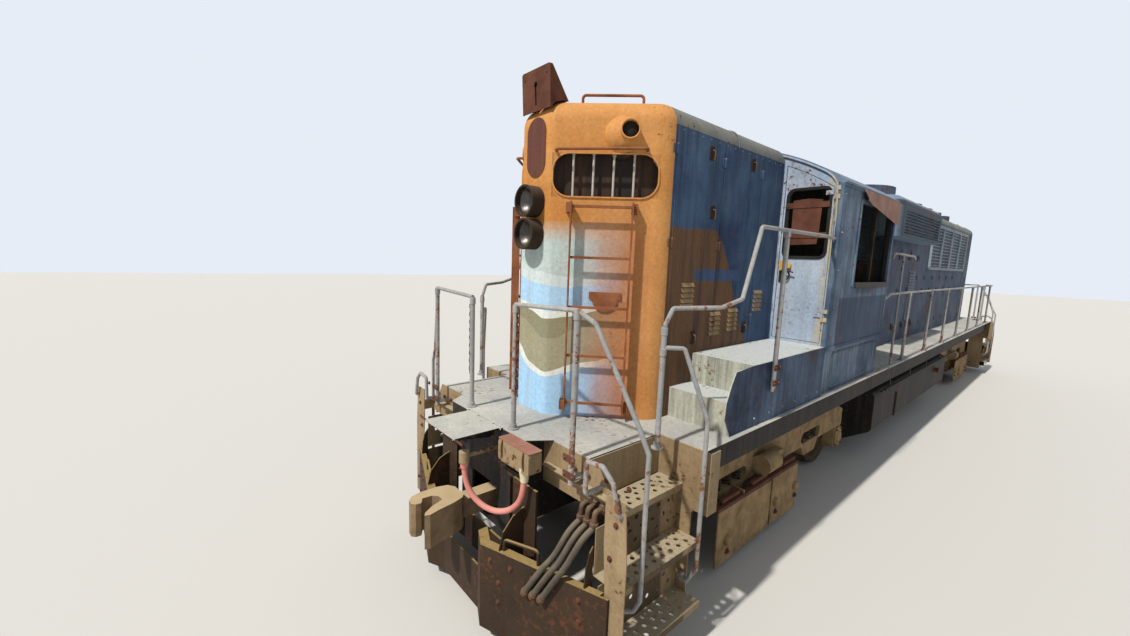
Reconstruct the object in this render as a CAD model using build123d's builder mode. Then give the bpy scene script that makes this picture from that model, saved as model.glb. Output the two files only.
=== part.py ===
from build123d import *
import os
from math import cos, pi, sin, sqrt, tan

os.makedirs("parts", exist_ok=True)

# Millimetres. X is across the locomotive, Y along it with the short hood at -Y, Z up.
# Heights start at the ground, which the wheel flanges touch, a flange depth below the rail top.
flange_depth = 26
rail = flange_depth

# Overall length, frame and deck
coupler_face = 9252
end_face = 8680
end_plate = 25
deck_top = rail + 1600
deck_plate = 10
deck_half = 1560
well_inner = 1110
well_wall = 7690
corner_face = 8500
corner_across = 600
sill_height = 250
sill_web = 40

# Hoods
hood_half = 889
hood_top = rail + 4320
hood_edge = 180
skin = 8
nose_face = 8200
nose_half = 200
bevel_end = 7518
bevel_round = 200
face_round = 90
seam = 7430

# The four bevels between the nose faces and the hood sides, each with s running outward from the nose
bevel_length = sqrt((hood_half - nose_half) ** 2 + (nose_face - bevel_end) ** 2)
along_x = (hood_half - nose_half) / bevel_length
along_y = (nose_face - bevel_end) / bevel_length
bevels = []
for end in (-1, 1):
    for side in (1, -1):
        plane = Plane(
            origin=(side * nose_half, end * nose_face, 0),
            x_dir=(-end * along_x, side * along_y, 0),
            z_dir=(side * along_y, end * along_x, 0),
        )
        bevels.append((end, -end * side, plane))

# Cab
cab_front = -5380
cab_rear = -3370
cab_half = 1520
cab_wall = 60
cab_floor_top = rail + 2150
cab_eave = rail + 3880
cab_crown = rail + 4405
roof_radius = 2600
roof_plate = 50

# Running gear
running_gap = 0.3
wheel_radius = 508
axle_height = rail + wheel_radius
axle_radius = 85
wheelbase = 4140
truck_centre = 5334

# Underframe: two deep centre beams, side sills, cross members and the two end plates
beam_half = 370
beam_web = 32
beam_bottom = rail + 1130
deck_under = deck_top - deck_plate
draft_half = 290
draft_bottom = rail + 700
draft_start = 7700

with BuildPart() as underframe:
    # centre beams
    with BuildSketch(Plane.XY.offset(beam_bottom)):
        with Locations((beam_half - beam_web / 2, 0), (-beam_half + beam_web / 2, 0)):
            Rectangle(beam_web, 2 * (end_face - end_plate))
    extrude(amount=deck_under - beam_bottom)
    with BuildSketch(Plane.XY.offset(beam_bottom)):
        with Locations((beam_half - 50, 0), (-beam_half + 50, 0)):
            Rectangle(200, 2 * draft_start)
    extrude(amount=30)
    # side sills between the step wells
    with BuildSketch(Plane.XY.offset(deck_under - sill_height)):
        with Locations((cab_half - 60, 0), (-cab_half + 60, 0)):
            Rectangle(sill_web, 2 * well_wall - 60)
    extrude(amount=sill_height)
    # cross members under the deck
    with BuildSketch(Plane.XY.offset(deck_under - 160)):
        with GridLocations(0, 1680, 1, 10):
            Rectangle(2 * cab_half - 120, 24)
    extrude(amount=160)
    # bolsters over the trucks
    with BuildSketch(Plane.XY.offset(beam_bottom - 16)):
        with Locations((0, truck_centre), (0, -truck_centre)):
            Rectangle(2 * beam_half, 520)
    extrude(amount=46)
    with BuildSketch(Plane.XY.offset(beam_bottom - 16)):
        with Locations((0, truck_centre), (0, -truck_centre)):
            Circle(230)
    extrude(amount=46)
    # end plates with the coupler opening
    for end in (1, -1):
        with BuildSketch(Plane.XZ.offset(-end * end_face)):
            with Locations((0, (deck_under + draft_bottom) / 2)):
                Rectangle(2 * beam_half + 60, deck_under - draft_bottom)
            with Locations((0, deck_under - 180)):
                Rectangle(2 * corner_across, 360)
            with Locations((0, rail + 900)):
                Rectangle(420, 330, mode=Mode.SUBTRACT)
        extrude(amount=end * end_plate)
        with BuildSketch(Plane.XY.offset(deck_under - 360)):
            for side in (1, -1):
                with Locations((side * (corner_across - 8), end * (end_face - end_plate + corner_face) / 2)):
                    Rectangle(16, end_face - end_plate - corner_face)
        extrude(amount=360)
        # stiffening angle across the end plate
        for side in (1, -1):
            with BuildSketch(Plane.YZ.offset(side * 300)):
                with BuildLine():
                    Polyline(
                        (end * end_face, rail + 1330),
                        (end * (end_face + 55), rail + 1330),
                        (end * (end_face + 55), rail + 1338),
                        (end * end_face, rail + 1338),
                        close=True,
                    )
                make_face()
            extrude(amount=side * (corner_across - 300))
    # draft sills either side of the coupler
    for end in (1, -1):
        with BuildSketch(Plane.XY.offset(draft_bottom)):
            for side in (1, -1):
                with Locations((side * (draft_half + 15), end * (end_face - end_plate + draft_start) / 2)):
                    Rectangle(30, end_face - end_plate - draft_start)
        extrude(amount=deck_under - draft_bottom)
        with BuildSketch(Plane.XY.offset(draft_bottom)):
            with Locations((0, end * (end_face - end_plate + draft_start) / 2)):
                Rectangle(2 * draft_half, end_face - end_plate - draft_start)
        extrude(amount=20)
underframe.part.label = "underframe"
export_step(underframe.part, "parts/underframe.step")

# Deck plates with the four step wells cut out of the corners, and the drop steps' hinge rods
hinge_rod = end_face + 14
rod_radius = 6
with BuildPart() as deck:
    with BuildSketch(Plane.XY.offset(deck_under)):
        Rectangle(2 * deck_half, 2 * well_wall)
        for end in (1, -1):
            with BuildLine():
                Polyline(
                    (-well_inner - 8, end * (well_wall - 100)),
                    (-well_inner - 8, end * corner_face),
                    (-corner_across - 120, end * corner_face),
                    (-corner_across, end * end_face),
                    (corner_across, end * end_face),
                    (corner_across + 120, end * corner_face),
                    (well_inner + 8, end * corner_face),
                    (well_inner + 8, end * (well_wall - 100)),
                    close=True,
                )
            make_face()
    extrude(amount=deck_plate)
    with BuildSketch(Plane.YZ.offset(-282)):
        with Locations((hinge_rod, deck_top - 6), (-hinge_rod, deck_top - 6)):
            Circle(rod_radius)
    extrude(amount=564)
    for across in (-282, 270):
        with BuildSketch(Plane.YZ.offset(across)):
            with Locations((end_face + 11, deck_top - 6), (-end_face - 11, deck_top - 6)):
                Rectangle(22, 18)
        extrude(amount=12)
deck.part.label = "deck"
export_step(deck.part, "parts/deck.step")

# Step wells: a bent back wall, an inner stringer at the front and three perforated treads
tread_width = 235
tread_plate = 8
treads = [
    # height above rail, outer edge, front
    (1270, 1370, 8490),
    (870, 1545, 8610),
    (380, 1590, 8610),
]
risers = [
    # foot and head above rail, place across
    (870, 1210, 1317),
    (380, 812, 1362),
]
stringer_face = end_face - 62
with BuildPart() as step_wells:
    for end in (1, -1):
        for side in (1, -1):
            # back wall, wide above and narrow below, with a rounded upper corner
            with BuildSketch(Plane.XZ.offset(-end * well_wall)):
                with Locations((side * 1355, rail + 1340)):
                    Rectangle(490, 2 * (deck_under - rail - 1340))
                with Locations((side * 1295, rail + 640)):
                    Rectangle(330, 960)
            extrude(amount=-end * 8)
            # its return along the outer side
            with BuildSketch(Plane.YZ.offset(side * 1600)):
                with Locations((end * (well_wall - 60), rail + 1340)):
                    Rectangle(120, 2 * (deck_under - rail - 1340))
            extrude(amount=-side * 8)
            # inner wall of the well
            with BuildSketch(Plane.YZ.offset(side * (well_inner + 8))):
                well_middle = (well_wall + 8 + corner_face - 10) / 2
                with Locations((end * well_middle, (rail + 1270 + deck_under) / 2)):
                    Rectangle(corner_face - 10 - well_wall - 8, deck_under - rail - 1270)
            extrude(amount=side * 8)
            # corner sheet under the deck edge, with its stiffening angle
            with BuildSketch(Plane.XZ.offset(-end * corner_face)):
                with BuildLine():
                    Polyline(
                        (side * corner_across, deck_under),
                        (side * corner_across, rail + 1230),
                        (side * 1440, rail + 1250),
                        (side * 1440, rail + 1400),
                        (side * 1280, rail + 1460),
                        (side * 1200, deck_under),
                        close=True,
                    )
                make_face()
            extrude(amount=end * 10)
            with BuildSketch(Plane.YZ.offset(side * (corner_across + 60))):
                with BuildLine():
                    Polyline(
                        (end * corner_face, rail + 1395),
                        (end * (corner_face + 60), rail + 1395),
                        (end * (corner_face + 60), rail + 1403),
                        (end * corner_face, rail + 1403),
                        close=True,
                    )
                make_face()
            extrude(amount=side * 760)
            # front stringer
            with BuildSketch(Plane.XZ.offset(-end * (stringer_face - 8))):
                with BuildLine():
                    Polyline(
                        (side * 1400, rail + 1500),
                        (side * 1400, rail + 1150),
                        (side * 1430, rail + 800),
                        (side * 1360, rail + 420),
                        (side * 1360, rail + 250),
                        (side * 1600, rail + 250),
                        (side * 1600, rail + 1100),
                        (side * 1570, rail + 1500),
                        close=True,
                    )
                make_face()
            extrude(amount=-end * 8)
            with BuildSketch(Plane.XY.offset(rail + 1270)):
                with Locations((side * 1420, end * (corner_face + stringer_face - 8) / 2)):
                    Rectangle(40, stringer_face - 8 - corner_face)
            extrude(amount=100)
            # treads and the risers between them
            for height, outer, front in treads:
                with BuildSketch(Plane.XY.offset(rail + height - tread_plate)):
                    with Locations((side * (outer - tread_width / 2), end * (front + well_wall) / 2)):
                        Rectangle(tread_width, front - well_wall)
                extrude(amount=tread_plate)
                with BuildSketch(Plane.XY.offset(rail + height - 50)):
                    with Locations((side * (outer - 5), end * (front + well_wall) / 2)):
                        Rectangle(10, front - well_wall)
                extrude(amount=50)
            for foot, head, across in risers:
                with BuildSketch(Plane.XY.offset(rail + foot)):
                    with Locations((side * across, end * (stringer_face - 8 + well_wall) / 2)):
                        Rectangle(6, stringer_face - 8 - well_wall)
                extrude(amount=head - foot)
step_wells.part.label = "step_wells"
export_step(step_wells.part, "parts/step_wells.step")

# Plows: two swept-back halves under each end, joined by a lower bar, with quarter-round gussets
plow_top = rail + 800
plow_bottom = rail + 110
plow_nose = 8990
plow_sweep = 0.3465
plow_plate = 15
with BuildPart() as plows:
    for end in (1, -1):
        for side in (1, -1):
            with BuildSketch(Plane.XY.offset(plow_bottom)):
                with BuildLine():
                    Polyline(
                        (side * 300, end * (plow_nose - 80)),
                        (side * 470, end * plow_nose),
                        (side * 1480, end * (plow_nose - plow_sweep * 1010)),
                        (side * 1480, end * (plow_nose - plow_plate - plow_sweep * 1010)),
                        (side * 470, end * (plow_nose - plow_plate)),
                        (side * 300, end * (plow_nose - 80 - plow_plate)),
                        close=True,
                    )
                make_face()
            extrude(amount=plow_top - plow_bottom)
            with BuildSketch(Plane.XY.offset(plow_top - 14)):
                with BuildLine():
                    Polyline(
                        (side * 300, end * (plow_nose - 80)),
                        (side * 470, end * plow_nose),
                        (side * 1415, end * (plow_nose - plow_sweep * 945)),
                        (side * 1415, end * (plow_nose - 55 - plow_sweep * 945)),
                        (side * 470, end * (plow_nose - 85)),
                        (side * 300, end * (plow_nose - 165)),
                        close=True,
                    )
                make_face()
            extrude(amount=14)
            step_bar = [
                # x, z
                (640, plow_top - 7),
                (640, plow_top + 85),
                (930, plow_top + 105),
                (930, plow_top - 7),
            ]
            with BuildLine():
                path = FilletPolyline(
                    *[(side * x, end * (plow_nose - 45 - plow_sweep * (x - 470)), z) for x, z in step_bar],
                    radius=35,
                )
            with BuildSketch(Plane(origin=path @ 0, z_dir=path % 0)):
                Circle(13)
            sweep()
            # gussets back to the hanger plates and to the step stringer
            for across, back in ((620, end_face + 20), (1300, end_face - 62)):
                front = plow_nose - plow_plate - plow_sweep * (across - 470)
                with BuildSketch(Plane.YZ.offset(side * across)):
                    with BuildLine():
                        Polyline(
                            (end * back, plow_bottom + 200),
                            (end * front, plow_bottom + 200),
                            (end * front, plow_top + 10),
                            (end * (back + 0.85 * (front - back)), plow_top + 140),
                            (end * (back + 0.45 * (front - back)), plow_top + 240),
                            (end * back, plow_top + 280),
                            close=True,
                        )
                    make_face()
                extrude(amount=side * 10)
        with BuildSketch(Plane.XY.offset(plow_bottom)):
            with Locations((0, end * (plow_nose - 87))):
                Rectangle(640, plow_plate)
        extrude(amount=380)
        # hanger bar and plates bolted to the end plate
        with BuildSketch(Plane.XZ.offset(-end * end_face)):
            with Locations((0, rail + 480)):
                Rectangle(2 * 1060, 300)
            for side in (1, -1):
                with Locations((side * 620, rail + 860)):
                    Rectangle(300, 800)
        extrude(amount=-end * 20)
plows.part.label = "plows"
export_step(plows.part, "parts/plows.step")

# Battery boxes beside the short hood, each with one step in front and an outer fairing
step_front = 7280
box_front = 6950
step_top = rail + 1870
box_top = rail + 2150
fairing_face = 1515
with BuildPart() as battery_boxes:
    for side in (1, -1):
        with BuildSketch(Plane.YZ.offset(side * hood_half)):
            with BuildLine():
                Polyline(
                    (-step_front, deck_top),
                    (-step_front, step_top),
                    (-box_front, step_top),
                    (-box_front, box_top),
                    (cab_front, box_top),
                    (cab_front, deck_top),
                    close=True,
                )
            make_face()
        extrude(amount=side * (fairing_face - 10 - hood_half))
        with BuildSketch(Plane.YZ.offset(side * (fairing_face - 10))):
            with BuildLine():
                Polyline(
                    (-7300, deck_top),
                    (-7400, rail + 1770),
                    (-7390, rail + 1900),
                    (-7330, rail + 2040),
                    (-7270, rail + 2140),
                    (-box_front, box_top + 4),
                    (cab_front, box_top + 4),
                    (cab_front, deck_top),
                    close=True,
                )
            make_face()
        extrude(amount=side * 10)
battery_boxes.part.label = "battery_boxes"
export_step(battery_boxes.part, "parts/battery_boxes.step")

# Short hood: one bent shell, cut into nose, sides and roof where the real sheets meet
panel_top = hood_top - hood_edge
with BuildPart() as short_shell:
    with BuildSketch(Plane.XY.offset(deck_top)) as short_plan:
        with BuildLine():
            Polyline(
                (-hood_half, cab_front),
                (-hood_half, -bevel_end),
                (-nose_half, -nose_face),
                (nose_half, -nose_face),
                (hood_half, -bevel_end),
                (hood_half, cab_front),
                close=True,
            )
        make_face()
        side_corners = short_plan.vertices().filter_by(lambda v: abs(v.X) > hood_half - 1)
        fillet(side_corners.filter_by(lambda v: v.Y < -7000), bevel_round)
        face_corners = short_plan.vertices().filter_by(lambda v: v.Y < -8100)
        fillet(face_corners.filter_by(lambda v: abs(abs(v.X) - nose_half) < 1), face_round)
    extrude(amount=hood_top - deck_top)
    top_edges = short_shell.edges().filter_by(lambda e: e.center().Z > hood_top - 1)
    fillet(top_edges.filter_by(lambda e: e.center().Y < cab_front - 1), hood_edge)
with BuildPart() as short_core:
    with BuildSketch(Plane.XY.offset(deck_top)) as short_inner:
        with BuildLine():
            Polyline(
                (-hood_half, cab_front + skin),
                (-hood_half, -bevel_end),
                (-nose_half, -nose_face),
                (nose_half, -nose_face),
                (hood_half, -bevel_end),
                (hood_half, cab_front + skin),
                close=True,
            )
        make_face()
        side_corners = short_inner.vertices().filter_by(lambda v: abs(v.X) > hood_half - 1)
        fillet(side_corners.filter_by(lambda v: v.Y < -7000), bevel_round)
        face_corners = short_inner.vertices().filter_by(lambda v: v.Y < -8100)
        fillet(face_corners.filter_by(lambda v: abs(abs(v.X) - nose_half) < 1), face_round)
        offset(amount=-skin)
    extrude(amount=hood_top - deck_top - skin)
    core_edges = short_core.edges().filter_by(lambda e: e.center().Z > hood_top - skin - 1)
    fillet(core_edges.filter_by(lambda e: e.center().Y < cab_front - 1), hood_edge - skin)
short_skin = short_shell.part - short_core.part

board_middle = 460
board_height = rail + 3695
board_long = 900
board_tall = 370
board_corner = 150
board_depth = 95
board_bars = (190, 360, 530, 700)
class_along = 647
class_height = rail + 4050
class_radius = 82
class_out = 95
with BuildPart() as short_hood_nose:
    add(short_skin)
    with BuildSketch(Plane.XY.offset(deck_top - 10)):
        with Locations((0, -seam - 500)):
            Rectangle(2000, 1000)
    extrude(amount=3000, mode=Mode.INTERSECT)
    for end, way, bevel in bevels[:2]:
        # number board: a deep pan with a proud rim and four upright bars
        with BuildSketch(bevel.offset(-board_depth)):
            with Locations((way * board_middle, board_height)):
                RectangleRounded(board_long, board_tall, board_corner)
        extrude(amount=board_depth + 10)
        with BuildSketch(bevel.offset(8 - board_depth)):
            with Locations((way * board_middle, board_height)):
                RectangleRounded(board_long - 24, board_tall - 24, board_corner - 12)
        extrude(amount=board_depth + 20, mode=Mode.SUBTRACT)
        for bar in board_bars:
            foot = bevel.from_local_coords((way * bar, board_height - board_tall / 2 + 6, -25))
            with BuildSketch(Plane(origin=foot)):
                Circle(10)
            extrude(amount=board_tall - 12)
        # class light: a swelling of the sheet and the lamp's barrel on it
        with Locations(bevel.from_local_coords((way * (class_along - 55), class_height - 25, -130))):
            Sphere(200)
        with BuildSketch(bevel.offset(-60)):
            with Locations((way * class_along, class_height)):
                Circle(class_radius)
        extrude(amount=60 + class_out)
        with BuildSketch(bevel.offset(class_out - 70)):
            with Locations((way * class_along, class_height)):
                Circle(class_radius - 12)
        extrude(amount=100, mode=Mode.SUBTRACT)
    # blanked oval on the nose face
    with BuildSketch(Plane.XZ.offset(nose_face)):
        with Locations((0, rail + 3940)):
            SlotOverall(500, 260, rotation=90)
    extrude(amount=8)
short_hood_nose.part.label = "short_hood_nose"
export_step(short_hood_nose.part, "parts/short_hood_nose.step")

with BuildPart() as short_hood_roof:
    add(short_skin)
    with BuildSketch(Plane.XY.offset(panel_top)):
        with Locations((0, (cab_front - seam) / 2)):
            Rectangle(2000, seam + cab_front)
    extrude(amount=1000, mode=Mode.INTERSECT)
short_hood_roof.part.label = "short_hood_roof"
export_step(short_hood_roof.part, "parts/short_hood_roof.step")

door_proud = 5
door_foot = rail + 2190
louvre_long = 190
louvre_out = 16
for side, name in ((1, "short_hood_right"), (-1, "short_hood_left")):
    with BuildPart() as short_side:
        with BuildSketch(Plane.XY.offset(deck_top)):
            with Locations((side * (hood_half - skin / 2), (cab_front - seam) / 2)):
                Rectangle(skin, seam + cab_front)
        extrude(amount=panel_top - deck_top)
        # doors, a little proud of the sheet
        with BuildSketch(Plane.YZ.offset(side * hood_half)):
            for start, stop in ((-7395, -6655), (-6647, -5905), (-5897, -5430)):
                with Locations(((start + stop) / 2, (door_foot + panel_top - 12) / 2)):
                    Rectangle(stop - start, panel_top - 12 - door_foot)
        extrude(amount=side * door_proud)
        # pressed louvres
        for along, low in ((-7120, 2590), (-6620, 2300), (-6280, 2320), (-5770, 2500)):
            with BuildSketch(Plane.XZ.offset(-along + louvre_long / 2)):
                for row in range(5):
                    with BuildLine():
                        Polyline(
                            (side * (hood_half + door_proud), rail + low + 48 * row),
                            (side * (hood_half + door_proud + louvre_out), rail + low + 48 * row),
                            (side * (hood_half + door_proud), rail + low + 48 * row + 36),
                            close=True,
                        )
                    make_face()
            extrude(amount=-louvre_long)
    short_side.part.label = name
    export_step(short_side.part, "parts/" + name + ".step")

# Long hood, with the same end turned round
with BuildPart() as long_shell:
    with BuildSketch(Plane.XY.offset(deck_top)) as long_plan:
        with BuildLine():
            Polyline(
                (-hood_half, cab_rear),
                (-hood_half, bevel_end),
                (-nose_half, nose_face),
                (nose_half, nose_face),
                (hood_half, bevel_end),
                (hood_half, cab_rear),
                close=True,
            )
        make_face()
        side_corners = long_plan.vertices().filter_by(lambda v: abs(v.X) > hood_half - 1)
        fillet(side_corners.filter_by(lambda v: v.Y > 7000), bevel_round)
        face_corners = long_plan.vertices().filter_by(lambda v: v.Y > 8100)
        fillet(face_corners.filter_by(lambda v: abs(abs(v.X) - nose_half) < 1), face_round)
    extrude(amount=hood_top - deck_top)
    top_edges = long_shell.edges().filter_by(lambda e: e.center().Z > hood_top - 1)
    fillet(top_edges.filter_by(lambda e: e.center().Y > cab_rear + 1), hood_edge)
with BuildPart() as long_core:
    with BuildSketch(Plane.XY.offset(deck_top)) as long_inner:
        with BuildLine():
            Polyline(
                (-hood_half, cab_rear - skin),
                (-hood_half, bevel_end),
                (-nose_half, nose_face),
                (nose_half, nose_face),
                (hood_half, bevel_end),
                (hood_half, cab_rear - skin),
                close=True,
            )
        make_face()
        side_corners = long_inner.vertices().filter_by(lambda v: abs(v.X) > hood_half - 1)
        fillet(side_corners.filter_by(lambda v: v.Y > 7000), bevel_round)
        face_corners = long_inner.vertices().filter_by(lambda v: v.Y > 8100)
        fillet(face_corners.filter_by(lambda v: abs(abs(v.X) - nose_half) < 1), face_round)
        offset(amount=-skin)
    extrude(amount=hood_top - deck_top - skin)
    core_edges = long_core.edges().filter_by(lambda e: e.center().Z > hood_top - skin - 1)
    fillet(core_edges.filter_by(lambda e: e.center().Y > cab_rear + 1), hood_edge - skin)
long_skin = long_shell.part - long_core.part

with BuildPart() as long_hood_end:
    add(long_skin)
    with BuildSketch(Plane.XY.offset(deck_top - 10)):
        with Locations((0, seam + 500)):
            Rectangle(2000, 1000)
    extrude(amount=3000, mode=Mode.INTERSECT)
    for end, way, bevel in bevels[2:]:
        with BuildSketch(bevel.offset(-board_depth)):
            with Locations((way * board_middle, board_height)):
                RectangleRounded(board_long, board_tall, board_corner)
        extrude(amount=board_depth + 10)
        with BuildSketch(bevel.offset(8 - board_depth)):
            with Locations((way * board_middle, board_height)):
                RectangleRounded(board_long - 24, board_tall - 24, board_corner - 12)
        extrude(amount=board_depth + 20, mode=Mode.SUBTRACT)
        for bar in board_bars:
            foot = bevel.from_local_coords((way * bar, board_height - board_tall / 2 + 6, -25))
            with BuildSketch(Plane(origin=foot)):
                Circle(10)
            extrude(amount=board_tall - 12)
        with Locations(bevel.from_local_coords((way * (class_along - 55), class_height - 25, -130))):
            Sphere(200)
        with BuildSketch(bevel.offset(-60)):
            with Locations((way * class_along, class_height)):
                Circle(class_radius)
        extrude(amount=60 + class_out)
        with BuildSketch(bevel.offset(class_out - 70)):
            with Locations((way * class_along, class_height)):
                Circle(class_radius - 12)
        extrude(amount=100, mode=Mode.SUBTRACT)
long_hood_end.part.label = "long_hood_end"
export_step(long_hood_end.part, "parts/long_hood_end.step")

with BuildPart() as long_hood_roof:
    add(long_skin)
    with BuildSketch(Plane.XY.offset(panel_top)):
        with Locations((0, (cab_rear + seam) / 2)):
            Rectangle(2000, seam - cab_rear)
    extrude(amount=1000, mode=Mode.INTERSECT)
long_hood_roof.part.label = "long_hood_roof"
export_step(long_hood_roof.part, "parts/long_hood_roof.step")

long_door_foot = rail + 1700
long_doors = [
    # front, rear, head
    (-2900, -2200, rail + 3500),
    (-2200, -1500, rail + 3500),
    (-1500, -800, rail + 3500),
    (-800, -100, rail + 3500),
    (-100, 600, rail + 3500),
    (600, 1300, rail + 3500),
    (1300, 2000, rail + 3000),
    (2000, 2800, rail + 3000),
    (2800, 3600, rail + 3000),
    (3600, 4400, rail + 3000),
    (4400, 5200, rail + 3000),
    (5200, 6000, rail + 3000),
    (6600, 7400, rail + 4050),
]
long_louvres = [
    # middle, length, lowest, rows
    (-1150, 520, 2080, 19),
    (950, 520, 2000, 17),
    (-2550, 420, 2900, 8),
    (7000, 420, 2900, 8),
]
for side, name in ((1, "long_hood_right"), (-1, "long_hood_left")):
    with BuildPart() as long_side:
        with BuildSketch(Plane.XY.offset(deck_top)):
            with Locations((side * (hood_half - skin / 2), (cab_rear + seam) / 2)):
                Rectangle(skin, seam - cab_rear)
        extrude(amount=panel_top - deck_top)
        with BuildSketch(Plane.YZ.offset(side * hood_half)):
            for start, stop, head in long_doors:
                with Locations(((start + stop) / 2, (long_door_foot + head) / 2)):
                    Rectangle(stop - start - 8, head - long_door_foot)
        extrude(amount=side * door_proud)
        for along, long, low, rows in long_louvres:
            with BuildSketch(Plane.XZ.offset(-along + long / 2)):
                for row in range(rows):
                    with BuildLine():
                        Polyline(
                            (side * (hood_half + door_proud), rail + low + 60 * row),
                            (side * (hood_half + door_proud + louvre_out), rail + low + 60 * row),
                            (side * (hood_half + door_proud), rail + low + 60 * row + 46),
                            close=True,
                        )
                    make_face()
            extrude(amount=-long)
    long_side.part.label = name
    export_step(long_side.part, "parts/" + name + ".step")

# Cab: floor, four walls and an arched roof
door_inner = 920
door_outer = 1446
door_bottom = box_top + 30
door_top = rail + 4200
door_gap = 6
arch_centre = cab_crown - roof_radius

with BuildPart() as cab_floor:
    with BuildSketch(Plane.XY.offset(cab_floor_top - 60)):
        with Locations((0, (cab_front + cab_rear) / 2)):
            Rectangle(2 * (cab_half - cab_wall), cab_rear - cab_front)
    extrude(amount=60)
    # skirts down to the deck
    with BuildSketch(Plane.XY.offset(deck_top)):
        for side in (1, -1):
            with Locations((side * (cab_half - 40), (cab_front + cab_rear) / 2)):
                Rectangle(10, cab_rear - cab_front)
    extrude(amount=cab_floor_top - 60 - deck_top)
    with BuildSketch(Plane.XY.offset(cab_floor_top - 70)):
        with Locations((0, (cab_front + cab_rear) / 2)):
            Rectangle(2 * (cab_half - 35), cab_rear - cab_front)
    extrude(amount=10)
cab_floor.part.label = "cab_floor"
export_step(cab_floor.part, "parts/cab_floor.step")

walls = [
    # name, outer face, inward direction, side of the door
    ("cab_wall_front", cab_front, 1, 1),
    ("cab_wall_rear", cab_rear, -1, -1),
]
window_bottom = rail + 3080
hinge_out = 14
hinge_across = door_outer - 3
hinge_barrel = 10
hinge_pin = 5
hinge_part = 45
hinge_heights = (rail + 2420, rail + 3720)
for name, face, inward, door_side in walls:
    with BuildPart() as wall:
        with BuildSketch(Plane.XZ.offset(-face)):
            with BuildLine():
                Polyline(
                    (cab_wall - cab_half, cab_floor_top),
                    (cab_half - cab_wall, cab_floor_top),
                    (cab_half - cab_wall, cab_crown),
                    (cab_wall - cab_half, cab_crown),
                    close=True,
                )
            make_face()
            with Locations((0, arch_centre)):
                Circle(roof_radius - roof_plate, mode=Mode.INTERSECT)
            # doorway
            with BuildSketch(Plane.XZ.offset(-face), mode=Mode.SUBTRACT):
                with Locations((0, arch_centre)):
                    Circle(roof_radius - roof_plate - 60)
                with Locations((door_side * (door_inner + door_outer) / 2, (door_bottom + door_top) / 2)):
                    Rectangle(door_outer - door_inner, door_top - door_bottom, mode=Mode.INTERSECT)
            # window on the other side
            with Locations((-door_side * (door_inner + door_outer) / 2, window_bottom + 410)):
                Rectangle(480, 760, mode=Mode.SUBTRACT)
        extrude(amount=-inward * cab_wall)
        # hinges: a leaf on the wall, two knuckles and the pin between them
        for height in hinge_heights:
            for start in (0, 2 * hinge_part):
                with BuildSketch(Plane.XY.offset(height + start)):
                    with Locations((door_side * hinge_across, face - inward * hinge_out)):
                        Circle(hinge_barrel)
                    with Locations((door_side * (hinge_across + 25), face - inward * 5)):
                        Rectangle(50, 10)
                    with Locations((door_side * (hinge_across + 6), face - inward * 9)):
                        Rectangle(12, 18)
                extrude(amount=hinge_part)
            with BuildSketch(Plane.XY.offset(height)):
                with Locations((door_side * hinge_across, face - inward * hinge_out)):
                    Circle(hinge_pin)
            extrude(amount=3 * hinge_part)
    wall.part.label = name
    export_step(wall.part, "parts/" + name + ".step")

side_window_front = -4790
side_window_rear = -3480
side_window_bottom = rail + 2830
side_window_top = rail + 3740
for side, name in ((1, "cab_side_right"), (-1, "cab_side_left")):
    with BuildPart() as cab_side:
        with BuildSketch(Plane.YZ.offset(side * cab_half)):
            with Locations(((cab_front + cab_rear) / 2, (cab_floor_top - 60 + cab_eave) / 2)):
                Rectangle(cab_rear - cab_front, cab_eave - cab_floor_top + 60)
            window_middle = (side_window_front + side_window_rear) / 2
            with Locations((window_middle, (side_window_bottom + side_window_top) / 2)):
                Rectangle(
                    side_window_rear - side_window_front,
                    side_window_top - side_window_bottom,
                    mode=Mode.SUBTRACT,
                )
        extrude(amount=-side * cab_wall)
    cab_side.part.label = name
    export_step(cab_side.part, "parts/" + name + ".step")

# Roof: an arched sheet with a small overhang at the sides
with BuildPart() as cab_roof:
    with BuildSketch(Plane.XZ.offset(-cab_front)):
        with Locations((0, arch_centre)):
            Circle(roof_radius)
            Circle(roof_radius - roof_plate, mode=Mode.SUBTRACT)
        with Locations((0, cab_eave + 500)):
            Rectangle(2 * cab_half + 40, 1000, mode=Mode.INTERSECT)
    extrude(amount=cab_front - cab_rear)
cab_roof.part.label = "cab_roof"
export_step(cab_roof.part, "parts/cab_roof.step")

# What is left of the cab glass: the fixed front and rear panes
with BuildPart() as cab_glass:
    for face, inward, door_side in ((cab_front, 1, 1), (cab_rear, -1, -1)):
        with BuildSketch(Plane.XZ.offset(-face - inward * 25)):
            with Locations((-door_side * (door_inner + door_outer) / 2, window_bottom + 410)):
                Rectangle(480, 760)
        extrude(amount=-inward * 6)
cab_glass.part.label = "cab_glass"
export_step(cab_glass.part, "parts/cab_glass.step")

# Sunshades over the side windows and the armrests below them
with BuildPart() as sunshades:
    for side in (1, -1):
        with BuildSketch(Plane.XZ.offset(-side_window_front - 20)):
            with BuildLine():
                Polyline(
                    (side * cab_half, side_window_top + 128),
                    (side * (cab_half + 60), side_window_top + 113),
                    (side * (cab_half + 66), side_window_top + 10),
                    (side * (cab_half + 60), side_window_top + 10),
                    (side * (cab_half + 54), side_window_top + 107),
                    (side * cab_half, side_window_top + 122),
                    close=True,
                )
            make_face()
        extrude(amount=-(side_window_rear - side_window_front - 40))
sunshades.part.label = "sunshades"
export_step(sunshades.part, "parts/sunshades.step")

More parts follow.
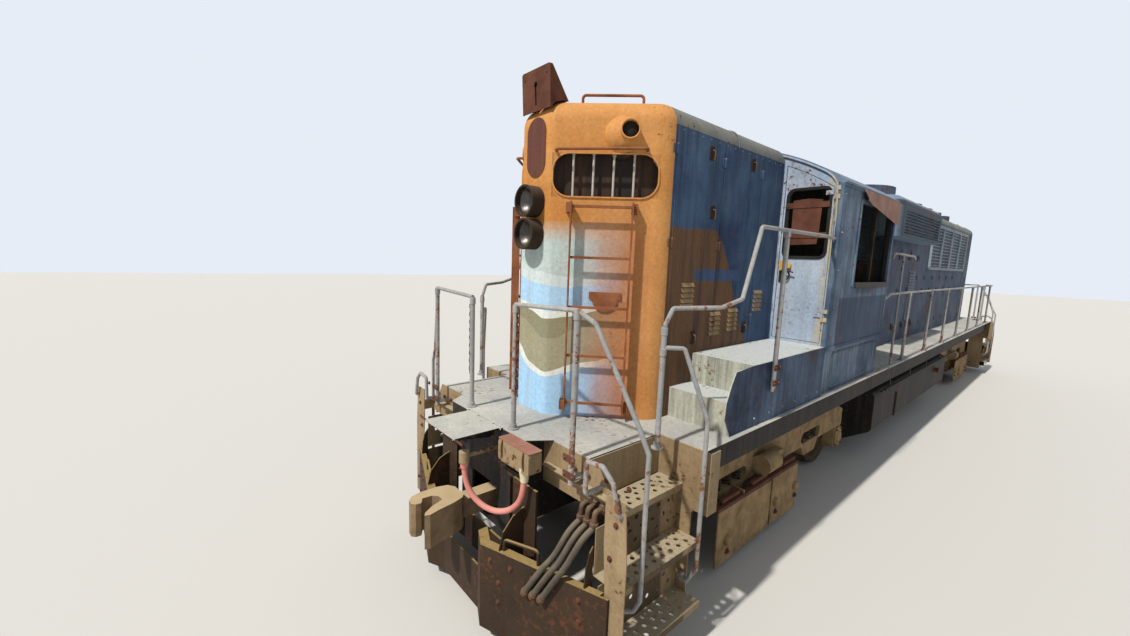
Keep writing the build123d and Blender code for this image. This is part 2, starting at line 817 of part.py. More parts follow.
# Cab fittings: two seats and the control stand on the engineer's side
with BuildPart() as cab_seats:
    for side, along in ((1, -4300), (-1, -4200)):
        with BuildSketch(Plane.XY.offset(cab_floor_top)):
            with Locations((side * 1120, along)):
                Circle(45)
        extrude(amount=480)
        with BuildSketch(Plane.XY.offset(cab_floor_top + 480)):
            with Locations((side * 1120, along)):
                RectangleRounded(440, 460, 60)
        extrude(amount=90)
        with BuildSketch(Plane.XY.offset(cab_floor_top + 560)):
            with Locations((side * 1120, along + 200)):
                RectangleRounded(420, 70, 30)
        extrude(amount=420)
cab_seats.part.label = "cab_seats"
export_step(cab_seats.part, "parts/cab_seats.step")

with BuildPart() as control_stand:
    with BuildSketch(Plane.XY.offset(cab_floor_top)):
        with Locations((-620, -4650)):
            Rectangle(420, 520)
    extrude(amount=1150)
control_stand.part.label = "control_stand"
export_step(control_stand.part, "parts/control_stand.step")

# Cab doors: the front one on the right, the rear one on the left, both hinged at the outer edge
door_thick = 45
for name, face, inward, side in (("cab_door_front", cab_front, 1, 1), ("cab_door_rear", cab_rear, -1, -1)):
    with BuildPart() as door:
        with BuildSketch(Plane.XZ.offset(-face - inward * 5)):
            with BuildLine():
                Polyline(
                    (side * (door_inner + door_gap), door_bottom + door_gap),
                    (side * (door_outer - door_gap), door_bottom + door_gap),
                    (side * (door_outer - door_gap), door_top - door_gap),
                    (side * (door_inner + door_gap), door_top - door_gap),
                    close=True,
                )
            make_face()
            with Locations((0, arch_centre)):
                Circle(roof_radius - roof_plate - 60 - door_gap, mode=Mode.INTERSECT)
            with Locations((side * (door_inner + door_outer) / 2, window_bottom + 395)):
                RectangleRounded(420, 720, 60, mode=Mode.SUBTRACT)
        extrude(amount=-inward * door_thick)
        # hinge straps with the middle knuckle
        for height in hinge_heights:
            with BuildSketch(Plane.XY.offset(height + hinge_part + 1)):
                with Locations((side * (hinge_across - 44), face - inward * 2)):
                    Rectangle(88, 14)
                with Locations((side * (hinge_across - 8), face - inward * 10)):
                    Rectangle(16, 16)
                with Locations((side * hinge_across, face - inward * hinge_out)):
                    Circle(hinge_barrel)
                    Circle(hinge_pin + running_gap, mode=Mode.SUBTRACT)
            extrude(amount=hinge_part - 2)
    door.part.label = name
    export_step(door.part, "parts/" + name + ".step")

# Dynamic brake blister over the long hood, with an opening for its fan
blister_front = -1900
blister_rear = 1450
blister_half = 1215
blister_bottom = rail + 3560
blister_top = rail + 4240
brake_fan_y = -200
grille_depth = 45
with BuildPart() as brake_blister:
    with BuildSketch(Plane.XY.offset(blister_bottom)):
        with Locations((0, (blister_front + blister_rear) / 2)):
            RectangleRounded(2 * blister_half, blister_rear - blister_front, 320)
    extrude(amount=blister_top - blister_bottom)
    fillet(brake_blister.faces().sort_by(Axis.Z)[-1].edges(), 200)
    with BuildSketch(Plane.XY.offset(blister_bottom - 10)):
        with Locations((0, (blister_front + blister_rear) / 2)):
            Rectangle(2 * hood_half, 4000)
    extrude(amount=2000, mode=Mode.SUBTRACT)
    # grilles let into both sides
    for side in (1, -1):
        with BuildSketch(Plane.YZ.offset(side * (blister_half - grille_depth))):
            with Locations(((blister_front + blister_rear) / 2, blister_bottom + 250)):
                Rectangle(2600, 380)
        extrude(amount=side * 2 * grille_depth, mode=Mode.SUBTRACT)
        with BuildSketch(Plane.YZ.offset(side * (blister_half - grille_depth))):
            for row in range(7):
                with Locations(((blister_front + blister_rear) / 2, blister_bottom + 90 + 52 * row)):
                    Rectangle(2600, 12)
        extrude(amount=side * (grille_depth - 4))
brake_blister.part.label = "brake_blister"
export_step(brake_blister.part, "parts/brake_blister.step")

# Radiator shutters on both sides near the rear
radiator_front = 2250
radiator_rear = 6550
radiator_bottom = rail + 3050
radiator_top = rail + 4080
with BuildPart() as radiator_shutters:
    for side in (1, -1):
        with BuildSketch(Plane.YZ.offset(side * hood_half)):
            with Locations(((radiator_front + radiator_rear) / 2, (radiator_bottom + radiator_top) / 2)):
                Rectangle(radiator_rear - radiator_front, radiator_top - radiator_bottom)
                with GridLocations((radiator_rear - radiator_front) / 4, 0, 4, 1):
                    Rectangle(960, 900, mode=Mode.SUBTRACT)
        extrude(amount=side * 40)
        with BuildSketch(Plane.YZ.offset(side * hood_half)):
            for row in range(12):
                with Locations(((radiator_front + radiator_rear) / 2, radiator_bottom + 100 + 75 * row)):
                    Rectangle(radiator_rear - radiator_front - 60, 20)
        extrude(amount=side * 20)
radiator_shutters.part.label = "radiator_shutters"
export_step(radiator_shutters.part, "parts/radiator_shutters.step")

# Roof fans: four radiator fans and the larger brake fan, each in a round housing with a guard
housing_height = 265
rotor_base = 60
fans = [
    # name, position along, housing radius
    ("radiator_fan_1", 2750, 520),
    ("radiator_fan_2", 3850, 520),
    ("radiator_fan_3", 4950, 520),
    ("radiator_fan_4", 6050, 520),
    ("brake_fan", brake_fan_y, 680),
]
with BuildPart() as fan_housings:
    for name, along, radius in fans:
        with BuildSketch(Plane.XY.offset(hood_top)):
            with Locations((0, along)):
                Circle(radius)
                Circle(radius - 30, mode=Mode.SUBTRACT)
        extrude(amount=housing_height - 20)
        # hub carrier and guard bars
        with BuildSketch(Plane.XY.offset(hood_top)):
            with Locations((0, along)):
                Rectangle(2 * radius - 20, 60)
        extrude(amount=40)
        with BuildSketch(Plane.XY.offset(hood_top)):
            with Locations((0, along)):
                Circle(radius * 0.24)
        extrude(amount=rotor_base - running_gap)
        with BuildSketch(Plane.XY.offset(hood_top + housing_height - 20)):
            with Locations((0, along)):
                Circle(radius)
                Circle(radius - 30, mode=Mode.SUBTRACT)
                Circle(radius * 0.62)
                Circle(radius * 0.62 - 12, mode=Mode.SUBTRACT)
                Circle(radius * 0.3)
                Circle(radius * 0.3 - 12, mode=Mode.SUBTRACT)
            for turn in (0, 45, 90, 135):
                with Locations(Location((0, along), turn)):
                    Rectangle(2 * radius - 20, 12)
        extrude(amount=12)
fan_housings.part.label = "fan_housings"
export_step(fan_housings.part, "parts/fan_housings.step")

for name, along, radius in fans:
    with BuildPart() as rotor:
        with BuildSketch(Plane.XY.offset(hood_top + rotor_base)):
            with Locations((0, along)):
                Circle(radius * 0.3)
        extrude(amount=130)
        with BuildSketch(Plane.XY.offset(hood_top + 100)):
            for blade in range(8):
                with Locations(Location((0, along), 45 * blade)):
                    with Locations((radius * 0.6, 0)):
                        Rectangle(radius * 0.62, 130)
        extrude(amount=16)
    rotor.part.label = name
    export_step(rotor.part, "parts/" + name + ".step")

# Engine and generator as one plain block
with BuildPart() as engine:
    with BuildSketch(Plane.XY.offset(deck_top)):
        with Locations((0, -300)):
            Rectangle(1150, 5000)
    extrude(amount=1900)
engine.part.label = "engine"
export_step(engine.part, "parts/engine.step")

# Exhaust stacks, horn and bell on the roof
with BuildPart() as roof_fittings:
    for along in (-2350, 1850):
        with BuildSketch(Plane.XY.offset(hood_top)):
            with Locations((0, along)):
                RectangleRounded(620, 300, 60)
                RectangleRounded(580, 260, 50, mode=Mode.SUBTRACT)
        extrude(amount=170)
roof_fittings.part.label = "roof_fittings"
export_step(roof_fittings.part, "parts/roof_fittings.step")

# Fuel tank between the trucks and the two air reservoirs above it
tank_half = 1370
tank_top = beam_bottom
tank_bottom = rail + 260
tank_length = 5300
with BuildPart() as fuel_tank:
    with BuildSketch(Plane.XZ.offset(-tank_length / 2)) as tank_section:
        with BuildLine():
            Polyline(
                (-tank_half, tank_top),
                (-tank_half, tank_bottom + 260),
                (-tank_half + 420, tank_bottom),
                (tank_half - 420, tank_bottom),
                (tank_half, tank_bottom + 260),
                (tank_half, tank_top),
                close=True,
            )
        make_face()
        fillet(tank_section.vertices().filter_by(lambda v: v.Z < tank_top - 10), 90)
    extrude(amount=tank_length)
fuel_tank.part.label = "fuel_tank"
export_step(fuel_tank.part, "parts/fuel_tank.step")

reservoir_radius = 135
with BuildPart() as air_reservoirs:
    for side in (1, -1):
        with BuildSketch(Plane.XZ.offset(2000)):
            with Locations((side * 1150, tank_top + 15 + reservoir_radius)):
                Circle(reservoir_radius)
        extrude(amount=-4000)
        with BuildSketch(Plane.XY.offset(tank_top)):
            with Locations((side * 1150, 1500), (side * 1150, -1500)):
                Rectangle(200, 60)
        extrude(amount=60)
air_reservoirs.part.label = "air_reservoirs"
export_step(air_reservoirs.part, "parts/air_reservoirs.step")

# Trucks: cast side frames, transoms, bolster, journal boxes, traction motors and brake shoes
frame_half_length = 2210
frame_inner = 945
frame_outer = 1095
journal_radius = 76
journal_bore = journal_radius + running_gap
for end, name in ((-1, "truck_frame_front"), (1, "truck_frame_rear")):
    centre = end * truck_centre
    with BuildPart() as truck:
        for side in (1, -1):
            # side frame
            with BuildSketch(Plane.YZ.offset(side * frame_inner)) as side_frame:
                with BuildLine():
                    Polyline(
                        (centre - frame_half_length, axle_height + 160),
                        (centre - frame_half_length, axle_height + 400),
                        (centre - frame_half_length + 250, axle_height + 500),
                        (centre + frame_half_length - 250, axle_height + 500),
                        (centre + frame_half_length, axle_height + 400),
                        (centre + frame_half_length, axle_height + 160),
                        (centre + 1300, axle_height + 160),
                        (centre + 1200, axle_height + 20),
                        (centre + 850, axle_height + 20),
                        (centre + 750, axle_height + 160),
                        (centre - 750, axle_height + 160),
                        (centre - 850, axle_height + 20),
                        (centre - 1200, axle_height + 20),
                        (centre - 1300, axle_height + 160),
                        close=True,
                    )
                make_face()
                with Locations((centre + 1035, axle_height + 270), (centre - 1035, axle_height + 270)):
                    SlotOverall(620, 150, mode=Mode.SUBTRACT)
            extrude(amount=side * (frame_outer - frame_inner))
            # journal boxes hung from the frame
            with BuildSketch(Plane.YZ.offset(side * frame_inner)):
                for axle in (-wheelbase / 2, 0, wheelbase / 2):
                    with Locations((centre + axle, axle_height)):
                        RectangleRounded(270, 330, 60)
                        Circle(journal_bore, mode=Mode.SUBTRACT)
            extrude(amount=side * 150)
            with BuildSketch(Plane.YZ.offset(side * (frame_inner + 150))):
                for axle in (-wheelbase / 2, 0, wheelbase / 2):
                    with Locations((centre + axle, axle_height)):
                        RectangleRounded(230, 290, 60)
            extrude(amount=side * 25)
            # brake cylinders
            with BuildSketch(Plane.XZ.offset(-centre + 300)):
                with Locations((side * (frame_outer + 95), axle_height + 330)):
                    Circle(110)
            extrude(amount=300)
            with BuildSketch(Plane.XY.offset(axle_height + 330)):
                with Locations((side * (frame_outer + 45), centre + 150 - 300)):
                    Rectangle(110, 200)
            extrude(amount=60)
        # brake shoes on hangers from the side frames
        for axle, hand in ((-wheelbase / 2, 1), (0, 1), (wheelbase / 2, -1)):
            for side in (1, -1):
                with BuildSketch(Plane.YZ.offset(side * 730)):
                    with Locations((centre + axle, axle_height)):
                        Circle(wheel_radius + 68)
                        Circle(wheel_radius + 16, mode=Mode.SUBTRACT)
                    with Locations((centre + axle + hand * 545, axle_height + 20)):
                        Rectangle(120, 330, mode=Mode.INTERSECT)
                extrude(amount=side * 75)
                with BuildSketch(Plane.YZ.offset(side * 760)):
                    with Locations((centre + axle + hand * 562, axle_height + 240)):
                        Rectangle(50, 320)
                extrude(amount=side * 40)
                with BuildSketch(Plane.YZ.offset(side * 760)):
                    with Locations((centre + axle + hand * 562, axle_height + 370)):
                        Rectangle(60, 60)
                extrude(amount=side * (frame_inner - 760))
        # transoms, bolster and centre plate
        with BuildSketch(Plane.XY.offset(axle_height + 60)):
            with Locations((0, centre - 1035), (0, centre + 1035)):
                Rectangle(2 * frame_inner, 230)
        extrude(amount=400)
        with BuildSketch(Plane.XY.offset(axle_height + 420)):
            with Locations((0, centre)):
                Rectangle(560, 2300)
        extrude(amount=90)
        with BuildSketch(Plane.XY.offset(axle_height + 500)):
            with Locations((0, centre)):
                Circle(230)
        extrude(amount=beam_bottom - 16 - running_gap - axle_height - 500)
        # traction motors
        for from_axle in (-wheelbase / 2 + 470, 470, wheelbase / 2 - 470):
            with BuildSketch(Plane.XZ.offset(-centre - from_axle + 340)):
                with Locations((0, axle_height + 20)):
                    RectangleRounded(860, 620, 150)
            extrude(amount=-680)
        with BuildSketch(Plane.XY.offset(axle_height + 200)):
            with Locations((0, centre)):
                Rectangle(200, 3200)
        extrude(amount=240)
    truck.part.label = name
    export_step(truck.part, "parts/" + name + ".step")

# Wheelsets: axle and two wheels turned as one piece
wheelsets = [
    # name, position along
    ("wheelset_1", -truck_centre - wheelbase / 2),
    ("wheelset_2", -truck_centre),
    ("wheelset_3", -truck_centre + wheelbase / 2),
    ("wheelset_4", truck_centre - wheelbase / 2),
    ("wheelset_5", truck_centre),
    ("wheelset_6", truck_centre + wheelbase / 2),
]
flange_radius = wheel_radius + flange_depth
for name, along in wheelsets:
    with BuildPart() as wheelset:
        with BuildSketch(Plane.XY):
            with BuildLine():
                Polyline(
                    (0, 0),
                    (0, axle_radius),
                    (655, axle_radius + 5),
                    (655, 150),
                    (730, 180),
                    (738, 430),
                    (690, 445),
                    (682, flange_radius - 12),
                    (694, flange_radius),
                    (708, flange_radius - 4),
                    (722, wheel_radius + 2),
                    (822, wheel_radius - 4),
                    (828, 445),
                    (775, 430),
                    (768, 200),
                    (835, 150),
                    (835, 95),
                    (900, journal_radius),
                    (1065, journal_radius),
                    (1065, 0),
                    close=True,
                )
            make_face()
            mirror(about=Plane.YZ)
        revolve(axis=Axis.X)
    placed = Pos(0, along, axle_height) * wheelset.part
    placed.label = name
    export_step(placed, "parts/" + name + ".step")

# Couplers, each turning on a pin inside the draft sill
coupler_height = rail + 876
coupler_pin = 8250
pin_radius = 42
for end, name in ((-1, "coupler_front"), (1, "coupler_rear")):
    with BuildPart() as coupler:
        with BuildSketch(Plane.XY.offset(coupler_height - 140)) as head:
            with BuildLine():
                Polyline(
                    (end * 80, end * (coupler_face - 330)),
                    (end * 140, end * (coupler_face - 290)),
                    (end * 165, end * (coupler_face - 200)),
                    (end * 165, end * (coupler_face - 60)),
                    (end * 140, end * (coupler_face + 30)),
                    (end * 90, end * (coupler_face + 70)),
                    (end * 35, end * (coupler_face + 75)),
                    (end * 5, end * (coupler_face + 50)),
                    (end * 0, end * (coupler_face + 5)),
                    (end * 60, end * (coupler_face - 30)),
                    (end * 55, end * (coupler_face - 110)),
                    (end * 10, end * (coupler_face - 150)),
                    (end * -50, end * (coupler_face - 150)),
                    (end * -95, end * (coupler_face - 40)),
                    (end * -150, end * (coupler_face + 40)),
                    (end * -185, end * (coupler_face + 60)),
                    (end * -200, end * (coupler_face + 20)),
                    (end * -175, end * (coupler_face - 60)),
                    (end * -150, end * (coupler_face - 200)),
                    (end * -120, end * (coupler_face - 290)),
                    (end * -80, end * (coupler_face - 330)),
                    close=True,
                )
            make_face()
        extrude(amount=280)
        with BuildSketch(Plane.XY.offset(coupler_height - 80)):
            with Locations((0, end * (coupler_pin + coupler_face - 300) / 2)):
                Rectangle(140, coupler_face - 300 - coupler_pin)
            with Locations((0, end * coupler_pin)):
                Circle(90)
                Circle(pin_radius + running_gap, mode=Mode.SUBTRACT)
        extrude(amount=160)
    coupler.part.label = name
    export_step(coupler.part, "parts/" + name + ".step")

# Draft pins standing in the pockets, and the yoke plates they pass through
with BuildPart() as draft_yokes:
    for end in (1, -1):
        for height in (draft_bottom + 20, coupler_height + 90):
            with BuildSketch(Plane.XY.offset(height)):
                with Locations((0, end * coupler_pin)):
                    Rectangle(2 * draft_half, 240)
            extrude(amount=coupler_height - 90 - draft_bottom - 20 if height < coupler_height else 60)
        with BuildSketch(Plane.XY.offset(coupler_height - 90)):
            with Locations((0, end * coupler_pin)):
                Circle(pin_radius)
        extrude(amount=180)
        with BuildSketch(Plane.XY.offset(coupler_height - 90)):
            with Locations((0, end * coupler_pin)):
                Circle(88)
        extrude(amount=10 - running_gap)
draft_yokes.part.label = "draft_yokes"
export_step(draft_yokes.part, "parts/draft_yokes.step")

# Drop steps, each hinged on a rod between two lugs of the deck edge
drop_half = 262
for end, name in ((-1, "drop_step_front"), (1, "drop_step_rear")):
    with BuildPart() as drop_step:
        with BuildSketch(Plane.XY.offset(deck_top - 12)):
            with Locations((0, end * (hinge_rod + 211))):
                Rectangle(2 * drop_half, 398)
        extrude(amount=12)
        # knuckles round the rod
        for across in (-150, 90):
            with BuildSketch(Plane.YZ.offset(across)):
                with BuildLine():
                    Polyline(
                        (end * hinge_rod, deck_top),
                        (end * (hinge_rod + 30), deck_top),
                        (end * (hinge_rod + 30), deck_top - 12),
                        (end * hinge_rod, deck_top - 12),
                        close=True,
                    )
                make_face()
                with Locations((end * hinge_rod, deck_top - 6)):
                    Circle(11)
                    Circle(rod_radius + running_gap, mode=Mode.SUBTRACT)
            extrude(amount=60)
        # ribs under the plate
        for across in (-190, 190):
            with BuildSketch(Plane.YZ.offset(across - 5)):
                with BuildLine():
                    Polyline(
                        (end * (hinge_rod + 14), deck_top - 12),
                        (end * (hinge_rod + 14), deck_top - 70),
                        (end * (hinge_rod + 60), deck_top - 90),
                        (end * (hinge_rod + 390), deck_top - 40),
                        (end * (hinge_rod + 390), deck_top - 12),
                        close=True,
                    )
                make_face()
            extrude(amount=10)
    drop_step.part.label = name
    export_step(drop_step.part, "parts/" + name + ".step")

# Handrails, each a bent pipe on posts
rail_radius = 17
side_runs = [
    # each run is a list of x, y, z
    # along the battery box, short hood end
    [
        (1290, -7960, 2560),
        (1310, -7900, 2690),
        (1500, -7560, 2700),
        (1538, -7330, 2760),
        (1538, -7110, 3330),
        (1538, -5640, 3335),
        (1480, -5500, 3335),
        (1480, cab_front, 3335),
    ],
    # outside the step well, short hood end
    [
        (1290, -7960, 2400),
        (1400, -7850, 2400),
        (1578, -7760, 1880),
        (1578, -7760, 700),
        (1500, -7760, 560),
        (1430, -7760, 560),
        (1430, -7700, 560),
    ],
    # outside the step well, long hood end
    [
        (1290, 7960, 2400),
        (1400, 7850, 2400),
        (1578, 7760, 1880),
        (1578, 7760, 700),
        (1500, 7760, 560),
        (1430, 7760, 560),
        (1430, 7700, 560),
    ],
    # along the long hood
    [
        (1290, 7960, 2640),
        (1320, 7900, 2700),
        (1480, 7560, 2700),
        (1500, 7400, 2700),
        (1500, cab_rear + 300, 2700),
        (1490, cab_rear + 90, 2640),
        (1490, cab_rear, 2640),
    ],
]
posts = [
    # x, y, foot, head
    (1290, -7960, deck_top, 2560),
    (1290, 7960, deck_top, 2640),
    (1538, -6640, rail + 1880, 3335),
    (1500, -2000, deck_top, 2700),
    (1500, -500, deck_top, 2700),
    (1500, 1000, deck_top, 2700),
    (1500, 2500, deck_top, 2700),
    (1500, 4000, deck_top, 2700),
    (1500, 5500, deck_top, 2700),
    (1500, 7000, deck_top, 2700),
]
for side, name in ((1, "handrails_right"), (-1, "handrails_left")):
    with BuildPart() as handrails:
        for run in side_runs:
            with BuildLine():
                path = FilletPolyline(*[(side * x, y, z) for x, y, z in run], radius=30)
            with BuildSketch(Plane(origin=path @ 0, z_dir=path % 0)):
                Circle(rail_radius)
            sweep()
        for x, y, foot, head in posts:
            with BuildSketch(Plane.XY.offset(foot)):
                with Locations((side * x, y)):
                    Circle(rail_radius + 4)
            extrude(amount=head - foot)
    handrails.part.label = name
    export_step(handrails.part, "parts/" + name + ".step")

end_runs = [
    # each run is a list of x, y, z
    [
        (1245, corner_face, 1465),
        (1245, 8655, 1465),
        (1250, 8660, 1700),
        (1400, 8660, 1720),
        (1490, 8655, 1640),
        (1540, 8650, 1440),
        (1540, 8618, 1440),
    ],
    [
        (340, 8620, 2650),
        (1060, 8620, 2680),
        (1180, 8560, 2600),
        (1500, 8440, 1950),
        (1578, 8430, 1800),
        (1578, 8430, 780),
        (1540, 8450, 690),
        (1500, 8500, 690),
        (1500, 8609, 690),
    ],
]
end_posts = [
    # x, y, foot, head
    (340, 8620, deck_top, 2650),
    (1060, 8620, rail + 1420, 2680),
]
with BuildPart() as end_rails:
    for end in (1, -1):
        for side in (1, -1):
            for run in end_runs:
                with BuildLine():
                    path = FilletPolyline(*[(side * x, end * y, z) for x, y, z in run], radius=25)
                with BuildSketch(Plane(origin=path @ 0, z_dir=path % 0)):
                    Circle(rail_radius)
                sweep()
            for x, y, foot, head in end_posts:
                with BuildSketch(Plane.XY.offset(foot)):
                    with Locations((side * x, end * y)):
                        Circle(rail_radius + 4)
                extrude(amount=head - foot)
            # bracket that holds the outer post off the corner sheet
            with BuildSketch(Plane.XY.offset(rail + 1450)):
                with Locations((side * 1060, end * (corner_face + 8620) / 2)):
                    Rectangle(60, 8620 - corner_face)
            extrude(amount=16)
end_rails.part.label = "end_rails"
export_step(end_rails.part, "parts/end_rails.step")

# Headlights: two stacked barrels on each hood end and the box above them
with BuildPart() as headlights:
    for end in (1, -1):
        for height in (rail + 3480, rail + 3200):
            with BuildSketch(Plane.XZ.offset(-end * nose_face)):
                with Locations((0, height)):
                    Circle(135)
            extrude(amount=-end * 130)
            with BuildSketch(Plane.XZ.offset(-end * (nose_face + 130))):
                with Locations((0, height)):
                    Circle(122)
            extrude(amount=end * 115, mode=Mode.SUBTRACT)
headlights.part.label = "headlights"
export_step(headlights.part, "parts/headlights.step")

with BuildPart() as lamp_box:
    with BuildSketch(Plane.YZ.offset(-193)):
        with BuildLine():
            Polyline(
                (-8215, rail + 4240),
                (-8235, rail + 4580),
                (-8150, rail + 4585),
                (-7650, hood_top),
                (-8020, hood_top),
                (-8200, hood_top - 180),
                (-8200, rail + 4240),
                close=True,
            )
        make_face()
    extrude(amount=386)
    add(short_shell.part, mode=Mode.SUBTRACT)
lamp_box.part.label = "lamp_box"
export_step(lamp_box.part, "parts/lamp_box.step")

# Ladders, flag bracket and grab irons on the bevels at both sides of each hood end
ladder_inner = 190
ladder_outer = 700
roof_grab_back = 190
grab_radius = 12
grab_irons = [
    # each is a list of distance outward from the nose, height, distance off the bevel
    [
        (45, rail + 3890, 0),
        (45, rail + 3890, 65),
        (800, rail + 3905, 65),
        (800, rail + 3905, 0),
    ],
    [
        (240, hood_top, -roof_grab_back),
        (240, hood_top + 75, -roof_grab_back),
        (760, hood_top + 75, -roof_grab_back),
        (760, hood_top, -roof_grab_back),
    ],
]
with BuildPart() as ladders:
    for end, way, bevel in bevels:
        with BuildSketch(bevel.offset(45)):
            with Locations((way * ladder_inner, rail + 2570), (way * ladder_outer, rail + 2570)):
                Rectangle(12, 1800)
        extrude(amount=75)
        with BuildSketch(bevel):
            for height in (1720, 3420):
                for along in (ladder_inner - 18, ladder_outer + 18):
                    with Locations((way * along, rail + height)):
                        Rectangle(50, 80)
        extrude(amount=90)
        with BuildSketch(bevel.offset(75)):
            for height in (1750, 2170, 2590, 3010, 3430):
                with Locations((way * (ladder_inner + ladder_outer) / 2, rail + height)):
                    Rectangle(ladder_outer - ladder_inner, 22)
        extrude(amount=22)
        # flag bracket between the stringers
        with BuildSketch(bevel):
            with Locations((way * 505, rail + 2690)):
                Rectangle(275, 60)
            with Locations((way * 505, rail + 2660)):
                Circle(110)
            with Locations((way * 505, rail + 2780)):
                Rectangle(300, 120, mode=Mode.SUBTRACT)
        extrude(amount=14)
        # grab irons over the number board and on the roof
        for grab in grab_irons:
            with BuildLine():
                path = FilletPolyline(
                    *[bevel.from_local_coords((way * along, height, out)) for along, height, out in grab],
                    radius=30,
                )
            with BuildSketch(Plane(origin=path @ 0, z_dir=path % 0)):
                Circle(grab_radius)
            sweep()
ladders.part.label = "ladders"
export_step(ladders.part, "parts/ladders.step")

# Jumper receptacle boxes under the deck edge, and an arm with a dummy socket for the loose end
socket_x = 205
socket_y = -end_face - 310
socket_bottom = rail + 1365
with BuildPart() as receptacles:
    with BuildSketch(Plane.XY.offset(rail + 1400)):
        with Locations((socket_x, (socket_y - end_face) / 2)):
            Rectangle(24, -socket_y - end_face)
    extrude(amount=24)
    with BuildSketch(Plane.XY.offset(socket_bottom)):
        with Locations((socket_x, socket_y)):
            Circle(42)
    extrude(amount=90)
    for end in (1, -1):
        with BuildSketch(Plane.XZ.offset(-end * end_face)):
            with Locations((-end * 600, rail + 1500)):
                RectangleRounded(400, 170, 30)
        extrude(amount=-end * 120)
receptacles.part.label = "receptacles"
export_step(receptacles.part, "parts/receptacles.step")

# Air hoses hung from the step stringers over the plow
hose_radius = 22
hose_bend = 8 * hose_radius
hose_top = rail + 1190
hose_route = [
    # inward, out, down
    (0, 75, 0),
    (5, 150, 28),
    (32, 205, 125),
    (95, 232, 275),
]
hose_ends = [
    # inward, down, in front of the plow
    (130, 350),
    (250, 570),
]
with BuildPart() as mu_hoses:
    for end in (1, -1):
        for across in (1150, 1215, 1280):
            with BuildSketch(Plane.XZ.offset(-end * corner_face)):
                with Locations((-end * across, rail + 1300)):
                    Circle(30)
            extrude(amount=-end * 90)
            with BuildSketch(Plane.XY.offset(hose_top - 10)):
                with Locations((-end * across, end * (corner_face + 75))):
                    Circle(28)
            extrude(amount=rail + 1310 - hose_top)
            hose_points = []
            for inward, out, down in hose_route:
                front = corner_face + 20 + out
                hose_points.append(Vector(-end * (across - inward), end * front, hose_top - down))
            for inward, down in hose_ends:
                front = plow_nose - plow_sweep * (across - inward - 470) + 36
                hose_points.append(Vector(-end * (across - inward), end * front, hose_top - down))
            with BuildLine():
                hose = FilletPolyline(*hose_points, radius=hose_bend)
            with BuildSketch(Plane(origin=hose @ 0, z_dir=hose % 0)):
                Circle(hose_radius)
            sweep()
mu_hoses.part.label = "mu_hoses"
export_step(mu_hoses.part, "parts/mu_hoses.step")

# Jumper cable hanging in a loop between its plug and the dummy socket
cable_radius = 23
loop_radius = 273
plug_x = 700
plug_y = -end_face - 80
loop_turn = (-0.907, -0.421)
loop_base = rail + 1304
loop_points = [
    # along the loop's chord, height
    (0, rail + 1415),
    (0, loop_base - 88.7),
    (104.3, loop_base - 232.2),
    (loop_radius, loop_base - 287),
    (2 * loop_radius - 104.3, loop_base - 232.2),
    (2 * loop_radius, loop_base - 88.7),
    (2 * loop_radius, socket_bottom),
]
cable_points = []
for chord, z in loop_points:
    cable_points.append(Vector(plug_x + loop_turn[0] * chord, plug_y + loop_turn[1] * chord, z))
cable_radii = []
for before, corner, after in zip(cable_points, cable_points[1:], cable_points[2:]):
    first = corner - before
    second = after - corner
    half_turn = first.get_angle(second) / 2 * pi / 180
    cable_radii.append(0.45 * min(first.length, second.length) / tan(half_turn))
print("cable radii", [round(radius) for radius in cable_radii])
with BuildPart() as jumper_cable:
    with BuildLine():
        loop = FilletPolyline(*cable_points, radius=cable_radii)
    with BuildSketch(Plane(origin=loop @ 0, z_dir=loop % 0)):
        Circle(cable_radius)
    sweep()
jumper_cable.part.label = "jumper_cable"
export_step(jumper_cable.part, "parts/jumper_cable.step")
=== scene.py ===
# %% [markdown]
# # Dressing a worn hood locomotive
# The solids of the locomotive come from the CAD file already placed. This notebook gives them
# their look: sun-bleached paint, rust, dust and the small hardware that a fitter would add last.

# %% Load the frame
import bpy
import bmesh
from math import cos, pi, radians, sin
from mathutils import Matrix, Vector


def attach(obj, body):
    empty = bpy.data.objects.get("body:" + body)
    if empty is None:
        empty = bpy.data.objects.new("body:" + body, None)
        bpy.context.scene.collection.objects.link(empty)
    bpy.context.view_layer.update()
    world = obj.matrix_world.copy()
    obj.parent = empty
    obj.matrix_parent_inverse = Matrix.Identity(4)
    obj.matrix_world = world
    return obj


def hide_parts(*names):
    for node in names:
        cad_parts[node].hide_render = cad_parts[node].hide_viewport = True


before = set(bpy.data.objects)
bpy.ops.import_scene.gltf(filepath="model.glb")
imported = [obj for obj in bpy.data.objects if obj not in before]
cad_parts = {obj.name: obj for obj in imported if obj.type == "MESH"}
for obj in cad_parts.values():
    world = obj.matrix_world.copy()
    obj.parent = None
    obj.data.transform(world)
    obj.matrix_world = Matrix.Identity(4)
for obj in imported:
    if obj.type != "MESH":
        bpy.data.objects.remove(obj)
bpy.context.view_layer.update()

# %% [markdown]
# Colours are easiest to pick as sRGB hex values, the way a paint chart gives them. Blender's
# shaders want linear light, so one function turns hex into linear values.

# %% Colour values
def linear(chart):
    parts = [int(chart[i:i + 2], 16) / 255 for i in (1, 3, 5)]
    return tuple(p / 12.92 if p <= 0.04045 else ((p + 0.055) / 1.055) ** 2.4 for p in parts) + (1.0,)


# %% [markdown]
# A material is a small network. One helper adds any node, sets its options and either links or
# sets each of its inputs, so the networks below read as lists of what the surface is made of. A
# colour may stand there as its hex value.

